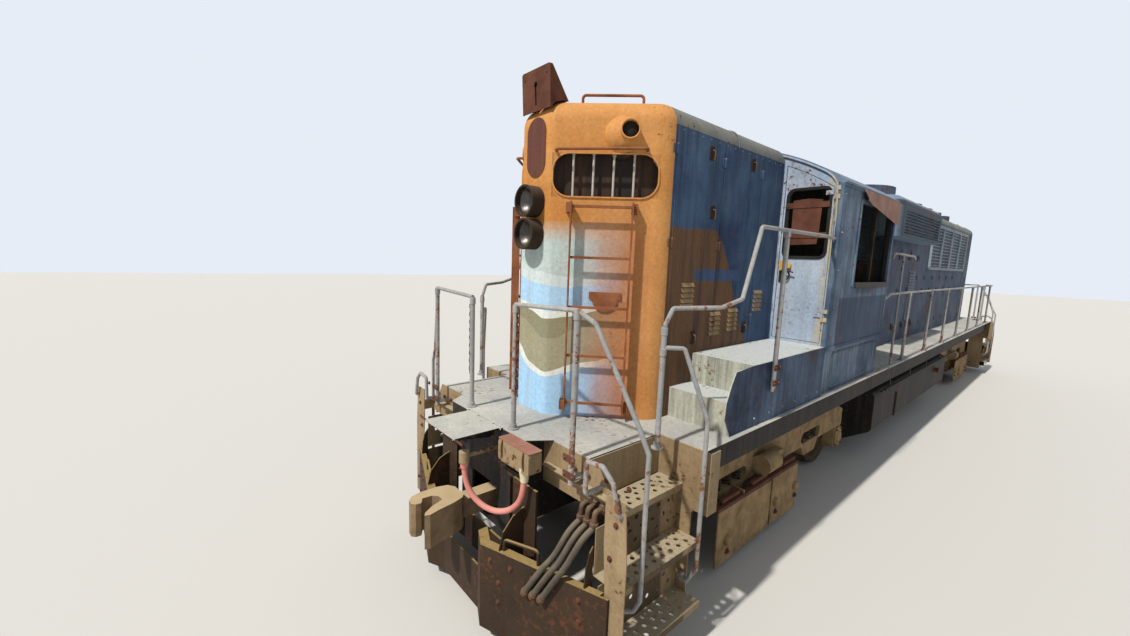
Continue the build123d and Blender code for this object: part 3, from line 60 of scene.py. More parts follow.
# %% One helper for nodes
def plug(tree, node, inputs):
    for socket, value in inputs.items():
        if isinstance(value, str):
            value = linear(value)
        if isinstance(value, bpy.types.NodeSocket):
            tree.links.new(value, node.inputs[socket])
        else:
            node.inputs[socket].default_value = value


def add(tree, kind, inputs=None, **options):
    node = tree.nodes.new("ShaderNode" + kind)
    for option, value in options.items():
        setattr(node, option, value)
    plug(tree, node, inputs or {})
    return node


def calc(tree, operation, *values, **options):
    return add(tree, "Math", dict(enumerate(values)), operation=operation, **options).outputs[0]


# %% [markdown]
# Whatever is made here has to stand in the scene before it shows. One helper does this for the
# camera, the sun, the floor and each piece of hardware.

# %% Standing things in the scene
def stand(name, data):
    thing = bpy.data.objects.new(name, data)
    bpy.context.collection.objects.link(thing)
    return thing


# %% [markdown]
# The camera stands at head height, close to the nose and to its right, with a very wide lens. The
# numbers come from matching known lengths of the body to the picture.

# %% Camera
eye = Vector((3.258, -10.651, 3.020))
turn, tilt, lean = radians(48.846), radians(-7.488), radians(2.111)
ahead = Vector((-sin(turn) * cos(tilt), cos(turn) * cos(tilt), sin(tilt)))
level = Vector((cos(turn), sin(turn), 0))
upright = level.cross(ahead)
right = cos(lean) * level + sin(lean) * upright
above = -sin(lean) * level + cos(lean) * upright
lens = bpy.data.cameras.new("wide_lens")
lens.lens = 14.326
lens.sensor_width = 36
lens.clip_end = 300
camera = stand("wide_camera", lens)
camera.matrix_world = Matrix.Translation(eye) @ Matrix((right, above, -ahead)).transposed().to_4x4()
bpy.context.scene.camera = camera
bpy.context.scene.view_settings.view_transform = "Standard"
print("camera at", tuple(eye), "lens", lens.lens)

# %% [markdown]
# The electric jumper hangs from its plug under the deck edge to a dummy socket in front of the
# coupler. It is one smooth hanging line, so a NURBS curve whose points follow the CAD route
# gives the loop, and the curve's bevel gives the rubber its round section.

# %% Jumper cable
def tube(name, routes, bevel, roundness, fineness, radius=1.0):
    curve = bpy.data.curves.new(name, "CURVE")
    curve.dimensions = "3D"
    curve.bevel_depth = bevel
    curve.bevel_resolution = roundness
    curve.resolution_u = fineness
    curve.use_fill_caps = True
    for route in routes:
        spline = curve.splines.new("NURBS")
        spline.points.add(len(route) - 1)
        for point, place in zip(spline.points, route):
            point.co = (*place, 1)
            point.radius = radius
        spline.order_u = min(3, len(route))
        spline.use_endpoint_u = True
    return stand(name, curve)


def hanging_line(name, points, radius, replaced):
    # each point carries the tube's radius, so that the curve's box is the tube's own
    line = tube(name, [points], 1.0, 4, 16, radius)
    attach(line, "locomotive")
    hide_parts(replaced)
    return line


loop_start = Vector((0.700, -8.760, 0))
loop_way = Vector((-0.907, -0.421, 0))
loop_route = [
    # along the chord, height
    (0.0000, 1.4410),
    (0.0000, 1.2413),
    (0.1043, 1.0978),
    (0.2730, 1.0430),
    (0.4417, 1.0978),
    (0.5460, 1.2413),
    (0.5460, 1.3910),
]
loop_points = [loop_start + loop_way * along + Vector((0, 0, height)) for along, height in loop_route]
jumper = hanging_line("jumper_lead", loop_points, 0.023, "jumper_cable")

# %% [markdown]
# The stage is a plain pale floor, and the world is a pale sky. A high sun from the front, a
# little to the left, gives the nose its light and keeps the side in soft shade.

# %% Floor, sky and sun
floor_mesh = bpy.data.meshes.new("floor_sheet")
floor_mesh.from_pydata([(-60, -60, 0), (60, -60, 0), (60, 90, 0), (-60, 90, 0)], [], [(0, 1, 2, 3)])
floor = stand("floor_sheet", floor_mesh)
floor_paint = bpy.data.materials.new("pale_floor")
floor_paint.use_nodes = True
floor_tree = floor_paint.node_tree
plug(floor_tree, floor_tree.nodes["Principled BSDF"], {"Base Color": "#c9c6c0", "Roughness": 0.9})
floor_mesh.materials.append(floor_paint)

sky = bpy.data.worlds.new("pale_sky")
sky.use_nodes = True
sky_tree = sky.node_tree
sky_tree.nodes.clear()
# rays that show the sky itself get the brighter of its two tones
rays = add(sky_tree, "LightPath").outputs
seen = calc(sky_tree, "MAXIMUM", rays["Is Camera Ray"], rays["Is Glossy Ray"])
seen = calc(sky_tree, "MAXIMUM", seen, rays["Is Transmission Ray"])
glow = add(sky_tree, "Background", {"Color": "#e0e8f2", "Strength": 0.5})
show = add(sky_tree, "Background", {"Color": "#e6edf6", "Strength": 1.0})
both = add(sky_tree, "MixShader", {0: seen, 1: glow.outputs[0], 2: show.outputs[0]})
add(sky_tree, "OutputWorld", {"Surface": both.outputs[0]})
bpy.context.scene.world = sky

sun = bpy.data.lights.new("soft_sun", "SUN")
sun.energy = 3.9
sun.angle = radians(2)
sun.color = (1.0, 0.965, 0.91)
sun_holder = stand("soft_sun", sun)
sun_holder.rotation_euler = Vector((-0.01, 0.62, -0.785)).to_track_quat("-Z", "Y").to_euler()
print("sun turned by", tuple(sun_holder.rotation_euler))

# %% [markdown]
# A few nodes come again and again: a range, a noise, a colour mix and the direction that a face
# looks in. Each gets a short function that gives its output, so that a finish reads like a recipe.

# %% Short names for common nodes
def span(tree, value, low, high, start=0.0, end=1.0, **options):
    limits = {"Value": value, "From Min": low, "From Max": high, "To Min": start, "To Max": end}
    return add(tree, "MapRange", limits, **options).outputs[0]


def noise(tree, place, scale, detail, roughness=0.5):
    pattern = {"Vector": place, "Scale": scale, "Detail": detail, "Roughness": roughness}
    return add(tree, "TexNoise", pattern).outputs["Fac"]


def stretched(tree, place, scales):
    return add(tree, "Mapping", {"Vector": place, "Scale": scales}).outputs[0]


def cover(tree, tone, colour, share):
    # a colour mix keeps its factor at place 0, its two colours at 6 and 7 and its result at 2
    return add(tree, "Mix", {0: share, 6: tone, 7: colour}, data_type="RGBA").outputs[2]


def split(tree, vector):
    return add(tree, "SeparateXYZ", {0: vector}).outputs


def facing(tree, axis):
    return split(tree, add(tree, "NewGeometry").outputs["Normal"])[axis]


def blank_finish(name):
    material = bpy.data.materials.new(name)
    material.use_nodes = True
    tree = material.node_tree
    return material, tree, tree.nodes["Principled BSDF"], add(tree, "TexCoord").outputs["Object"]


# %% [markdown]
# Most of the body is steel sheet with sprayed enamel that has stood in the sun for decades. The
# finish has six layers: the paint, a bleached tone in large clouds, dirt that ran down with the
# rain, dust that lies on level faces, a rusty stain, and rust where the film has broken. Each
# layer is a noise pattern whose scale comes from the size of the real marks, and the broken film
# is also rougher and lower than the paint.

# %% Weathered enamel on steel
def enamel(name, paint, bleached, grime="#4a4038", rust="#6e4128", dark_rust="#3c2a22", breaks_above=0.63,
           rust_mm=45, run_down=0.3, settled=None, settled_share=0.7, roughness=0.65, gloss=0.15,
           painter=None):
    material, tree, shader, place = blank_finish(name)
    clouds = span(tree, noise(tree, place, 1.3, 7, 0.62), 0.36, 0.68)
    tone = cover(tree, paint, bleached, clouds)
    if painter:
        tone = painter(tree, place, tone)
    drips = noise(tree, stretched(tree, place, (14, 14, 0.9)), 1.0, 5, 0.65)
    tone = cover(tree, tone, grime, span(tree, drips, 0.42, 0.74, 0, run_down))
    if settled:
        tone = cover(tree, tone, settled, span(tree, facing(tree, "Z"), 0.35, 0.9, 0, settled_share))
    specks = span(tree, noise(tree, place, 38, 4, 0.7), 0.3, 0.7, 0.84, 1.12)
    tone = add(tree, "VectorMath", {0: tone, "Scale": specks}, operation="SCALE").outputs[0]
    # small flakes gather where a coarser pattern is high, so that rust comes in patches
    flakes = noise(tree, place, 1000 / rust_mm, 5, 0.6)
    areas = calc(tree, "MULTIPLY_ADD", noise(tree, place, 2.1, 4), 0.7, -0.35)
    broken = calc(tree, "ADD", flakes, areas)
    tone = cover(tree, tone, rust, span(tree, broken, breaks_above - 0.10, breaks_above, 0, 0.4))
    film = span(tree, broken, breaks_above, breaks_above + 0.03)
    rusty = cover(tree, rust, dark_rust, noise(tree, place, 60, 4))
    relief = calc(tree, "MULTIPLY_ADD", film, -0.1, noise(tree, place, 2.2, 2))
    bump = add(tree, "Bump", {"Height": relief, "Strength": 0.35, "Distance": 0.012})
    plug(tree, shader, {"Base Color": cover(tree, tone, rusty, film), "Normal": bump.outputs[0],
                        "Roughness": span(tree, film, 0, 1, roughness, 0.92), "Specular IOR Level": gloss})
    return material


# %% [markdown]
# Where the frame and the castings never got a second coat, the steel is all rust and dust.

# %% Rusted iron
def rusted(name, dark, light, dust="#8d7b64", dust_share=0.5, grain_mm=25, roughness=0.88, gloss=0.1,
           metallic=0.0):
    material, tree, shader, place = blank_finish(name)
    tone = cover(tree, dark, light, span(tree, noise(tree, place, 5.5, 8, 0.65), 0.35, 0.65))
    settled = span(tree, facing(tree, "Z"), 0.1, 0.9, 0, dust_share)
    haze = calc(tree, "MULTIPLY", noise(tree, place, 9, 6), dust_share * 0.6)
    dusty = calc(tree, "ADD", settled, haze, use_clamp=True)
    pits = noise(tree, place, 1000 / grain_mm, 6, 0.7)
    bump = add(tree, "Bump", {"Height": pits, "Strength": 0.4, "Distance": 0.004})
    plug(tree, shader, {"Base Color": cover(tree, tone, dust, dusty), "Normal": bump.outputs[0],
                        "Roughness": roughness, "Metallic": metallic, "Specular IOR Level": gloss})
    return material


# %% [markdown]
# Some panels carry a second colour: fields of paint with soft, sprayed edges. A painter gets the
# tone so far and lays its own field over it. A field is a product of smooth steps along the
# body's axes, or over the way that faces look, and painters stack up like masked coats.

# %% Fields of paint
def measure(tree, place, axis):
    # "Z" is a place along the body and "facing Z" the way of a face; bars count both sides alike
    name = axis.strip("|")
    value = facing(tree, name[-1]) if name.startswith("facing") else split(tree, place)[name]
    return calc(tree, "ABSOLUTE", value) if name != axis else value


def field(tree, limits, share=1.0):
    for value, low, high, fade in limits:
        for edge, way in ((low, fade), (high, -fade)):
            share = calc(tree, "MULTIPLY", share, span(tree, value, edge - way, edge + way))
    return share


def coat(colour, strength, *limits):
    def painter(tree, place, tone):
        steps = [(measure(tree, place, axis), low, high, fade) for axis, low, high, fade in limits]
        return cover(tree, tone, colour, field(tree, steps, strength))
    return painter


def coats(*painters):
    def painter(tree, place, tone):
        for lay in painters:
            tone = lay(tree, place, tone)
        return tone
    return painter


def wavering(tree, value, place, scale, reach):
    strays = calc(tree, "MULTIPLY_ADD", noise(tree, place, scale, 4, 0.6), reach, -reach / 2)
    return calc(tree, "ADD", value, strays)


# %% [markdown]
# The hood ends are bevelled at both corners, and each bevel holds a number board in a sunk pan.
# To paint them, a point is measured along the bevel and out of it instead of along the body.

# %% Number board pans
bevel_x, bevel_y = 0.7035, 0.7107
bevel_face, bevel_edge = 5.9684, 5.6266


def bevel_axes(tree, place):
    mirrored = add(tree, "VectorMath", {0: place}, operation="ABSOLUTE").outputs[0]
    out, along = [add(tree, "VectorMath", {0: mirrored, 1: way}, operation="DOT_PRODUCT").outputs["Value"]
                  for way in ((bevel_x, bevel_y, 0), (bevel_y, -bevel_x, 0))]
    return calc(tree, "SUBTRACT", out, bevel_face), calc(tree, "ADD", along, bevel_edge)


def board_pans(tree, place, tone):
    # the pans are bare and dark inside, behind four pale bars
    out, along = bevel_axes(tree, place)
    inside = field(tree, [(along, 0.012, 0.908, 0.002), (split(tree, place)["Z"], 3.540, 3.902, 0.002)])
    tone = cover(tree, tone, "#2d2725", field(tree, [(out, -0.120, -0.002, 0.003)], inside))
    nearest = calc(tree, "PINGPONG", calc(tree, "SUBTRACT", along, 0.19), 0.085)
    bars = field(tree, [(nearest, -0.05, 0.016, 0.001), (out, -0.045, -0.008, 0.001)], inside)
    return cover(tree, tone, "#b4aea6", bars)


# %% [markdown]
# The nose carries a plain pattern of slow, rolling bands in pale blue, olive and off-white. A
# ramp with hard steps holds their colours, and a sine bends the height that it reads.

# %% Nose bands
ramp_height = 2.0
rolling_bands = [
    # height where the band starts, colour
    (1.50, "#a5cdec"),
    (2.16, "#dde3dc"),
    (2.22, "#9d9a80"),
    (2.50, "#8b8a70"),
    (2.62, "#dde3dc"),
    (2.69, "#a9d0ec"),
    (2.93, "#c9d6d6"),
    (3.04, "#b9c9c6"),
]


def rolling_field(tree, place, tone):
    axes = split(tree, place)
    # each band climbs and falls once over the nose, and its edge wavers like a hand-sprayed line
    swell = calc(tree, "SINE", calc(tree, "MULTIPLY_ADD", axes["X"], 3.4, 0.9))
    swell = calc(tree, "MULTIPLY_ADD", swell, 0.16, axes["Z"])
    drift = calc(tree, "MULTIPLY_ADD", noise(tree, place, 2.2, 1), 0.26, swell)
    ramp_foot = rolling_bands[0][0]
    ramp = add(tree, "ValToRGB", {0: span(tree, drift, ramp_foot + 0.13, ramp_foot + 0.13 + ramp_height)})
    ramp.color_ramp.interpolation = "CONSTANT"
    stops = ramp.color_ramp.elements
    for start, colour in rolling_bands[1:-1]:
        stops.new((start - ramp_foot) / ramp_height)
    stops[-1].position = (rolling_bands[-1][0] - ramp_foot) / ramp_height
    for stop, (start, colour) in zip(stops, rolling_bands):
        stop.color = linear(colour)
    across = wavering(tree, axes["X"], place, 4.0, 0.16)
    bands = field(tree, [(across, -0.72, 0.60, 0.12), (axes["Z"], 1.5, 3.25, 0.10)])
    tone = cover(tree, tone, ramp.outputs[0], bands)
    # the paint behind the ladder has browned and run
    browned = field(tree, [(across, 0.46, 0.80, 0.09), (axes["Z"], 1.4, 3.35, 0.2)], 0.5)
    return cover(tree, tone, "#a3644a", browned)


oval = coat("#5c3a33", 1, ("X", -0.135, 0.135, 0.006), ("Y", -8.30, -8.2045, 0.001), ("Z", 3.6, 4.3, 0.01))
nose_coats = coats(rolling_field, oval, board_pans)


# %% [markdown]
# Louvres, the cab and the blister each get their own marks: slat tops carry a painted highlight or a
# painted shade, the cab's corner posts chip, and its inside and the blister's flanks are painted shade.

# %% Sides, cab and blister
# the sloping tops of the louvre slats get painted light: a painted highlight on the hood sides' slats, and
# painted shade in the grilles of the blister and the shutters
slat_tops = ("facing Z", 0.12, 0.55, 0.03)
shaded_slats = coat("#2b3238", 0.85, slat_tops)
lit_slats = coat("#74808c", 0.85, slat_tops)
# the blister's flanks that face sideways are painted dark: painted shade
shaded_flanks = coats(coat("#2c353f", 0.85, ("|facing X|", 0.88, 2, 0.1)), shaded_slats)


def brown_field(tree, place, tone):
    axes = split(tree, place)
    border = span(tree, axes["Y"], -6.75, -5.85, 3.33, 2.15, interpolation_type="SMOOTHSTEP")
    border = wavering(tree, border, place, 3.2, 0.22)
    share = span(tree, calc(tree, "SUBTRACT", border, axes["Z"]), -0.012, 0.012, 0, 0.92)
    return cover(tree, tone, "#71502f", share)


bar = coat("#44597c", 1, ("Y", -7.02, -6.22, 0.02), ("Z", 2.86, 2.97, 0.008))
# the pale brown on the slat tops of the short hood is a painted highlight
side_coats = coats(brown_field, bar, coat("#a68d63", 0.85, slat_tops))


def worn_corners(tree, place, tone):
    # the corner posts have chipped down to a cream undercoat and brown rust
    post = (measure(tree, place, "|X|"), 1.4, 1.7, 0.05)
    chips = noise(tree, stretched(tree, place, (22, 22, 3.5)), 1, 6, 0.7)
    tone = cover(tree, tone, "#b3a57f", field(tree, [post, (chips, 0.50, 2.0, 0.03)]))
    return cover(tree, tone, "#5c4431", field(tree, [post, (chips, -1.0, 0.43, 0.03)]))


cab_room = [("|X|", -1, 1.505, 0.004), ("Y", -5.36, -3.39, 0.004), ("Z", 2.16, 4.4, 0.02)]
# everything inside the cab is painted dark: painted shade
shaded_inside = coat("#2b2d2e", 1, *cab_room)
cab_coats = coats(worn_corners, shaded_inside)
# two strips of the cab side are less bleached than the paint around them
cab_side_coats = coats(coat("#2f3f5c", 0.75, ("Y", -5.16, -3.42, 0.01), ("Z", 2.14, 2.70, 0.01)),
                       coat("#33435f", 0.5, ("Y", -4.66, -4.02, 0.01), ("Z", 2.74, 2.86, 0.01)), shaded_inside)

# %% [markdown]
# Low down, the side faces of the sills and the risers are painted dark as shade: only the treads are
# grey. A battery box is painted paler on the face that looks ahead, as painted sunlight.

# %% Deck, steps and boxes
# the side faces of the deck's sill are painted dark: painted shade
shaded_sills = coat("#1b1a1e", 1, ("|facing X|", 0.6, 2, 0.1), ("Z", 0, 1.66, 0.002))


def shaded_risers(tree, place, tone):
    # the risers of the corner steps are painted dark: painted shade under the treads
    faces = [measure(tree, place, axis) for axis in ("|facing Y|", "|facing X|")]
    limits = [(calc(tree, "MAXIMUM", *faces), 0.7, 2.0, 0.1),
              (measure(tree, place, "|Z|"), -1.0, 1.245, 0.012),
              (measure(tree, place, "|Y|"), 7.90, 8.47, 0.02)]
    return cover(tree, tone, "#2a211a", field(tree, limits, 0.72))


def sunlit_fronts(tree, place, tone):
    # faces that look ahead into the sun are painted paler: painted sunlight
    return cover(tree, tone, "#c6c5b1", span(tree, facing(tree, "Y"), -0.4, -0.9, 0, 0.8))


# %% [markdown]
# Each finish is named for what the surface is and how it was made. Where it is dusty, the dust
# lies on level faces, as the wind and the rain left it.

# %% Finishes by name
finishes = {
    "nose": enamel("sprayed_orange_enamel", "#c38444", "#d39b60", grime="#9a6430", breaks_above=0.80,
                   run_down=0.22, painter=nose_coats),
    "side": enamel("sprayed_slate_blue_enamel", "#2c4060", "#526a86", grime="#1f252f", breaks_above=0.74,
                   run_down=0.75, painter=side_coats),
    "cab": enamel("sprayed_pale_blue_enamel", "#93a3b8", "#b2bdc8", grime="#7a6a4c", breaks_above=0.70,
                  run_down=0.35, painter=cab_coats),
    "cab_side": enamel("faded_slate_enamel", "#344963", "#7f91a3", grime="#232a36", breaks_above=0.72,
                       run_down=0.8, painter=cab_side_coats),
    "cab_roof": enamel("bleached_cab_roof_enamel", "#66758a", "#828c99", grime="#5e5a54", breaks_above=0.72,
                       run_down=0.3),
    "box": enamel("dusty_slate_enamel", "#232e42", "#5c6f8a", grime="#1d2128", breaks_above=0.72,
                  run_down=0.75, settled="#c4c8c4", settled_share=0.9, painter=sunlit_fronts),
    "hood": enamel("streaked_grey_blue_enamel", "#2f3d55", "#5c6b80", grime="#26262c", rust="#7a5040",
                   breaks_above=0.66, run_down=0.6, painter=lit_slats),
    "rear": enamel("streaked_rear_enamel", "#36425a", "#525f78", grime="#26262c", rust="#7a5040",
                   breaks_above=0.66, run_down=0.6, painter=board_pans),
    "blister": enamel("faded_blister_enamel", "#70859b", "#8c9dac", grime="#565a60", breaks_above=0.70,
                      run_down=0.45, painter=shaded_flanks),
    "shutter": enamel("faded_shutter_enamel", "#7b8a94", "#98a3a8", grime="#565a60", breaks_above=0.70,
                      run_down=0.45, painter=shaded_slats),
    "roof": enamel("bleached_roof_enamel", "#6b6e6c", "#8c8a80", grime="#5a534a", breaks_above=0.72,
                   run_down=0.35),
    "deck": enamel("worn_deck_enamel", "#a4a5a1", "#bfbcb2", grime="#8a7458", breaks_above=0.70,
                   run_down=0.25, painter=shaded_sills),
    "frame": enamel("chassis_black_enamel", "#1d1c1d", "#2e2c2b", grime="#54483c", breaks_above=0.70,
                    run_down=0.4),
    "casting": rusted("weathered_cast_steel", "#675238", "#9a8160", dust="#ac9670", dust_share=0.6),
    "wheel": rusted("rolled_wheel_steel", "#2e2420", "#4c3729"),
    "coupler": rusted("rusted_coupler_steel", "#544234", "#846b52", dust="#bfa984", dust_share=0.65),
    "tan": enamel("dusty_tan_enamel", "#8a7558", "#a18b6b", grime="#4f3f2b", rust="#6b4a30",
                  breaks_above=0.68, run_down=0.28, settled="#b0a48a", settled_share=0.7,
                  painter=shaded_risers),
    # the plow's brown paint is darkened by a painted shadow, as if cast by a vehicle standing in front
    "plow": enamel("shadowed_brown_plate_enamel", "#2f241b", "#433325", grime="#3a2c22", breaks_above=0.68,
                   run_down=0.4, settled="#9d8657", settled_share=0.9),
    "pipe": enamel("chipped_pipe_enamel", "#8d9092", "#aaa8a4", grime="#76604f", rust="#8a6048",
                   dark_rust="#6a4636", breaks_above=0.63, rust_mm=55, run_down=0.4),
    "iron": rusted("dark_scaled_iron", "#1d1a19", "#3a2c26", dust_share=0.2),
    "rust": rusted("brown_rusted_sheet", "#4a2c24", "#6b4335", dust="#7d6152", dust_share=0.25),
    "ladder": rusted("orange_rusted_bar", "#6e3c24", "#9a6040", dust="#a98a6a", dust_share=0.25),
    "lid": rusted("red_faded_lid_sheet", "#7a4036", "#9c6454", dust="#a98a78", dust_share=0.3),
    "shade": rusted("pink_faded_sheet", "#8c6a5e", "#a88478", dust="#b09a8c", dust_share=0.3),
    "hose": rusted("dusty_hose_rubber", "#33322f", "#55524c", dust_share=0.45, roughness=0.8),
    "cable": rusted("faded_red_rubber", "#c0736a", "#d68f84", dust="#c9a08f", dust_share=0.2, roughness=0.6),
    "vinyl": rusted("black_seat_vinyl", "#171615", "#2a2725", dust_share=0.3, roughness=0.5),
    "motor": enamel("oily_engine_enamel", "#4a4d4a", "#5a5c58", breaks_above=0.7),
    "alloy": rusted("dull_cast_aluminium", "#4a4a4a", "#6a6a68", dust_share=0.2, roughness=0.5, metallic=0.6),
    "cream": rusted("moulded_cream_rubber", "#c9bd9c", "#ddd3b8", dust="#a89878", dust_share=0.3,
                    roughness=0.6),
    "yellow": enamel("brushed_yellow_enamel", "#c9962e", "#d8aa48", breaks_above=0.66),
    "gasket": rusted("black_window_rubber", "#141415", "#262626", dust="#5c564c", dust_share=0.3,
                     roughness=0.75),
    "bolt": rusted("rusted_bolt_steel", "#3c2c24", "#6a4c3a", dust="#8d7b64", dust_share=0.4),
    "brass": rusted("dull_cast_brass", "#6a5a38", "#8a774a", dust_share=0.3, roughness=0.5, metallic=0.5),
    "lamp": rusted("tarnished_reflector", "#3a3a3c", "#5c5c5c", dust_share=0.25, roughness=0.35,
                   metallic=0.8),
}
glass, glass_tree, glass_shader, glass_place = blank_finish("dusty_window_glass")
dust_film = cover(glass_tree, "#39413f", "#7a7c72", noise(glass_tree, glass_place, 6, 6))
plug(glass_tree, glass_shader, {"Base Color": dust_film, "Roughness": 0.12, "Transmission Weight": 0.85})
finishes["glass"] = glass

# %% [markdown]
# Every solid from the CAD file gets one of these finishes, so the list below reads like a paint
# shop's order sheet.

# %% Finishes on the solids
painted = {
    "frame": ["underframe", "fuel_tank", "air_reservoirs"],
    "deck": ["deck", "drop_step_front", "drop_step_rear"],
    "tan": ["step_wells", "receptacles"],
    "plow": ["plows"],
    "box": ["battery_boxes"],
    "nose": ["short_hood_nose"],
    "rear": ["long_hood_end"],
    "roof": ["short_hood_roof", "long_hood_roof"],
    "side": ["short_hood_right", "short_hood_left"],
    "hood": ["long_hood_right", "long_hood_left", "fan_housings"],
    "cab": ["cab_wall_front", "cab_wall_rear", "cab_door_front", "cab_door_rear"],
    "cab_side": ["cab_floor", "cab_side_right", "cab_side_left"],
    "cab_roof": ["cab_roof"],
    "glass": ["cab_glass"],
    "shade": ["sunshades"],
    "vinyl": ["cab_seats"],
    "motor": ["control_stand", "engine"],
    "blister": ["brake_blister"],
    "shutter": ["radiator_shutters"],
    "alloy": ["radiator_fan_1", "radiator_fan_2", "radiator_fan_3", "radiator_fan_4", "brake_fan"],
    "iron": ["roof_fittings", "headlights"],
    "casting": ["truck_frame_front", "truck_frame_rear"],
    "wheel": ["wheelset_1", "wheelset_2", "wheelset_3", "wheelset_4", "wheelset_5", "wheelset_6"],
    "coupler": ["coupler_front", "coupler_rear", "draft_yokes"],
    "pipe": ["handrails_right", "handrails_left", "end_rails"],
    "rust": ["lamp_box"],
    "ladder": ["ladders"],
    "hose": ["mu_hoses"],
}
for finish, nodes in painted.items():
    for node in nodes:
        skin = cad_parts[node]
        skin.data.materials.clear()
        skin.data.materials.append(finishes[finish])
jumper.data.materials.append(finishes["cable"])
print(sum(map(len, painted.values())), "nodes finished")

# %% [markdown]
# The hardware is made with four small workshop helpers: bent rods, plates cut from sheet, bolt
# heads, and turned parts. Each one makes a whole set as one piece, puts its finish on and fixes
# it to the body that carries it.


def fit(piece, finish, body="locomotive", slot=None):
    piece.data.materials.append(finishes[finish])
    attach(piece, body)
    print(piece.name, "made for", body)
    return piece


def forged(name, metal, *fixing):
    mesh = bpy.data.meshes.new(name)
    metal.to_mesh(mesh)
    metal.free()
    return fit(stand(name, mesh), *fixing)


# %% [markdown]
# Handles, pipes and grab irons are rods that were bent cold. A curve with a round bevel keeps each
# bend smooth with few points, where a mesh would need a ring of faces at every step.

# %% Bent rods
def bent_rods(name, routes, radius, finish, body="locomotive", slot=None):
    return fit(tube(name, routes, radius, 2, 6), finish, body, slot)


# %% [markdown]
# Most sheet is cut to a plain outline: a rectangle with rounded corners, or a round hole. Two
# functions list its points, so that a plate further down is one line of sizes.

# %% Outlines for cutting sheet
def round_hole(radius, middle, steps=14):
    angles = [2 * pi * i / steps for i in range(steps)]
    return [(middle[0] + radius * cos(angle), middle[1] + radius * sin(angle)) for angle in angles]


def rounded_sheet(wide, tall, corner, steps=5):
    points = []
    for quarter, (side, up) in enumerate(((1, 1), (-1, 1), (-1, -1), (1, -1))):
        for step in range(steps + 1):
            angle = pi / 2 * (quarter + step / steps)
            points.append((side * (wide / 2 - corner) + corner * cos(angle),
                           up * (tall / 2 - corner) + corner * sin(angle)))
    return points


# %% [markdown]
# A piece is drawn flat, as on a bench, and then carried to its seat. A seat is a matrix whose
# third axis points out of the surface, and the seats of both sides or ends come as one list.

# %% Seats for pieces
deck_top = 1.626
cab_plane, hood_plane = 1.520, 0.894
window_middle = -4.135
walk_line, post_line = 1.500, 8.620
ends = (-1, 1)
sides = (1, -1)
corners = [(end, side) for end in ends for side in sides]


def seat(origin, across, up=(0, 0, 1)):
    across, up = Vector(across).normalized(), Vector(up).normalized()
    out = across.cross(up)
    return Matrix.Translation(origin) @ Matrix((across, up, out)).transposed().to_4x4()


def end_seat(end, x, y, z):
    return seat((x, end * y, z), (-end, 0, 0))


def side_seats(*spots):
    return [seat((side * x, y, z), (0, side, 0)) for side in sides for x, y, z in spots]


def side_spots(*spots):
    return [((side * x, y, z), (side, 0, 0)) for side in sides for x, y, z in spots]


def at(*place):
    return Matrix.Translation(place)


def moved(place, x, y, z):
    return place @ at(x, y, z)


def carried(place, points):
    return [place @ Vector(point) for point in points]


def outward(place):
    return place.to_3x3() @ Vector((0, 0, 1))


# %% [markdown]
# Straps, lids and gussets are cut from flat sheet. A filled 2D curve takes holes and gives the cut
# edge its small bevel, and its mesh is copied to every seat of the set.

# %% Plates cut from sheet
def cut_plates(name, outlines, thick, seats, finish, body="locomotive", slot=None, edge=0.0015):
    flat = bpy.data.curves.new(name, "CURVE")
    flat.dimensions = "2D"
    flat.fill_mode = "BOTH"
    flat.extrude = thick / 2 - edge
    flat.bevel_depth = edge
    flat.bevel_resolution = 1
    for outline in outlines:
        spline = flat.splines.new("POLY")
        spline.points.add(len(outline) - 1)
        for point, (x, y) in zip(spline.points, outline):
            point.co = (x, y, 0, 1)
        spline.use_cyclic_u = True
    pattern = bpy.data.objects.new(name + "_pattern", flat)
    cut = bpy.data.meshes.new_from_object(pattern)
    whole = bmesh.new()
    for place in seats:
        # each copy stands on its seat, with its back face on the seat's plane
        cut_copy = cut.copy()
        cut_copy.transform(moved(place, 0, 0, thick / 2))
        whole.from_mesh(cut_copy)
        bpy.data.meshes.remove(cut_copy)
    bmesh.ops.recalc_face_normals(whole, faces=whole.faces)
    bpy.data.objects.remove(pattern)
    bpy.data.meshes.remove(cut)
    return forged(name, whole, finish, body, slot)


# %% [markdown]
# A bolt head is a hexagon on a round washer. Hundreds of them show, all small, so each is only two
# short cones, and a whole row is one mesh.

# %% Bolt heads
def bolt_heads(name, spots, radius, finish="bolt", body="locomotive", slot="dark_iron"):
    heads = bmesh.new()
    parts = [
        # corners, foot radius, head radius, height of the middle, thickness
        (10, 1.45, 1.4, 0.12, 0.24),
        (6, 1, 0.86, 0.6, 0.8),
    ]
    for place, out in spots:
        upright = Vector(out).to_track_quat("Z", "Y").to_matrix().to_4x4()
        for corner_count, foot, head, height, thick in parts:
            middle = Matrix.Translation(Vector(place) + Vector(out) * radius * height)
            bmesh.ops.create_cone(heads, cap_ends=True, segments=corner_count, radius1=radius * foot,
                                  radius2=radius * head, depth=radius * thick, matrix=middle @ upright)
    return forged(name, heads, finish, body, slot)


# %% [markdown]
# Caps, rims, sockets and lenses are round. Half of the section is spun about the seat's third
# axis, the way a lathe would make the part, and sharp edges stay sharp.

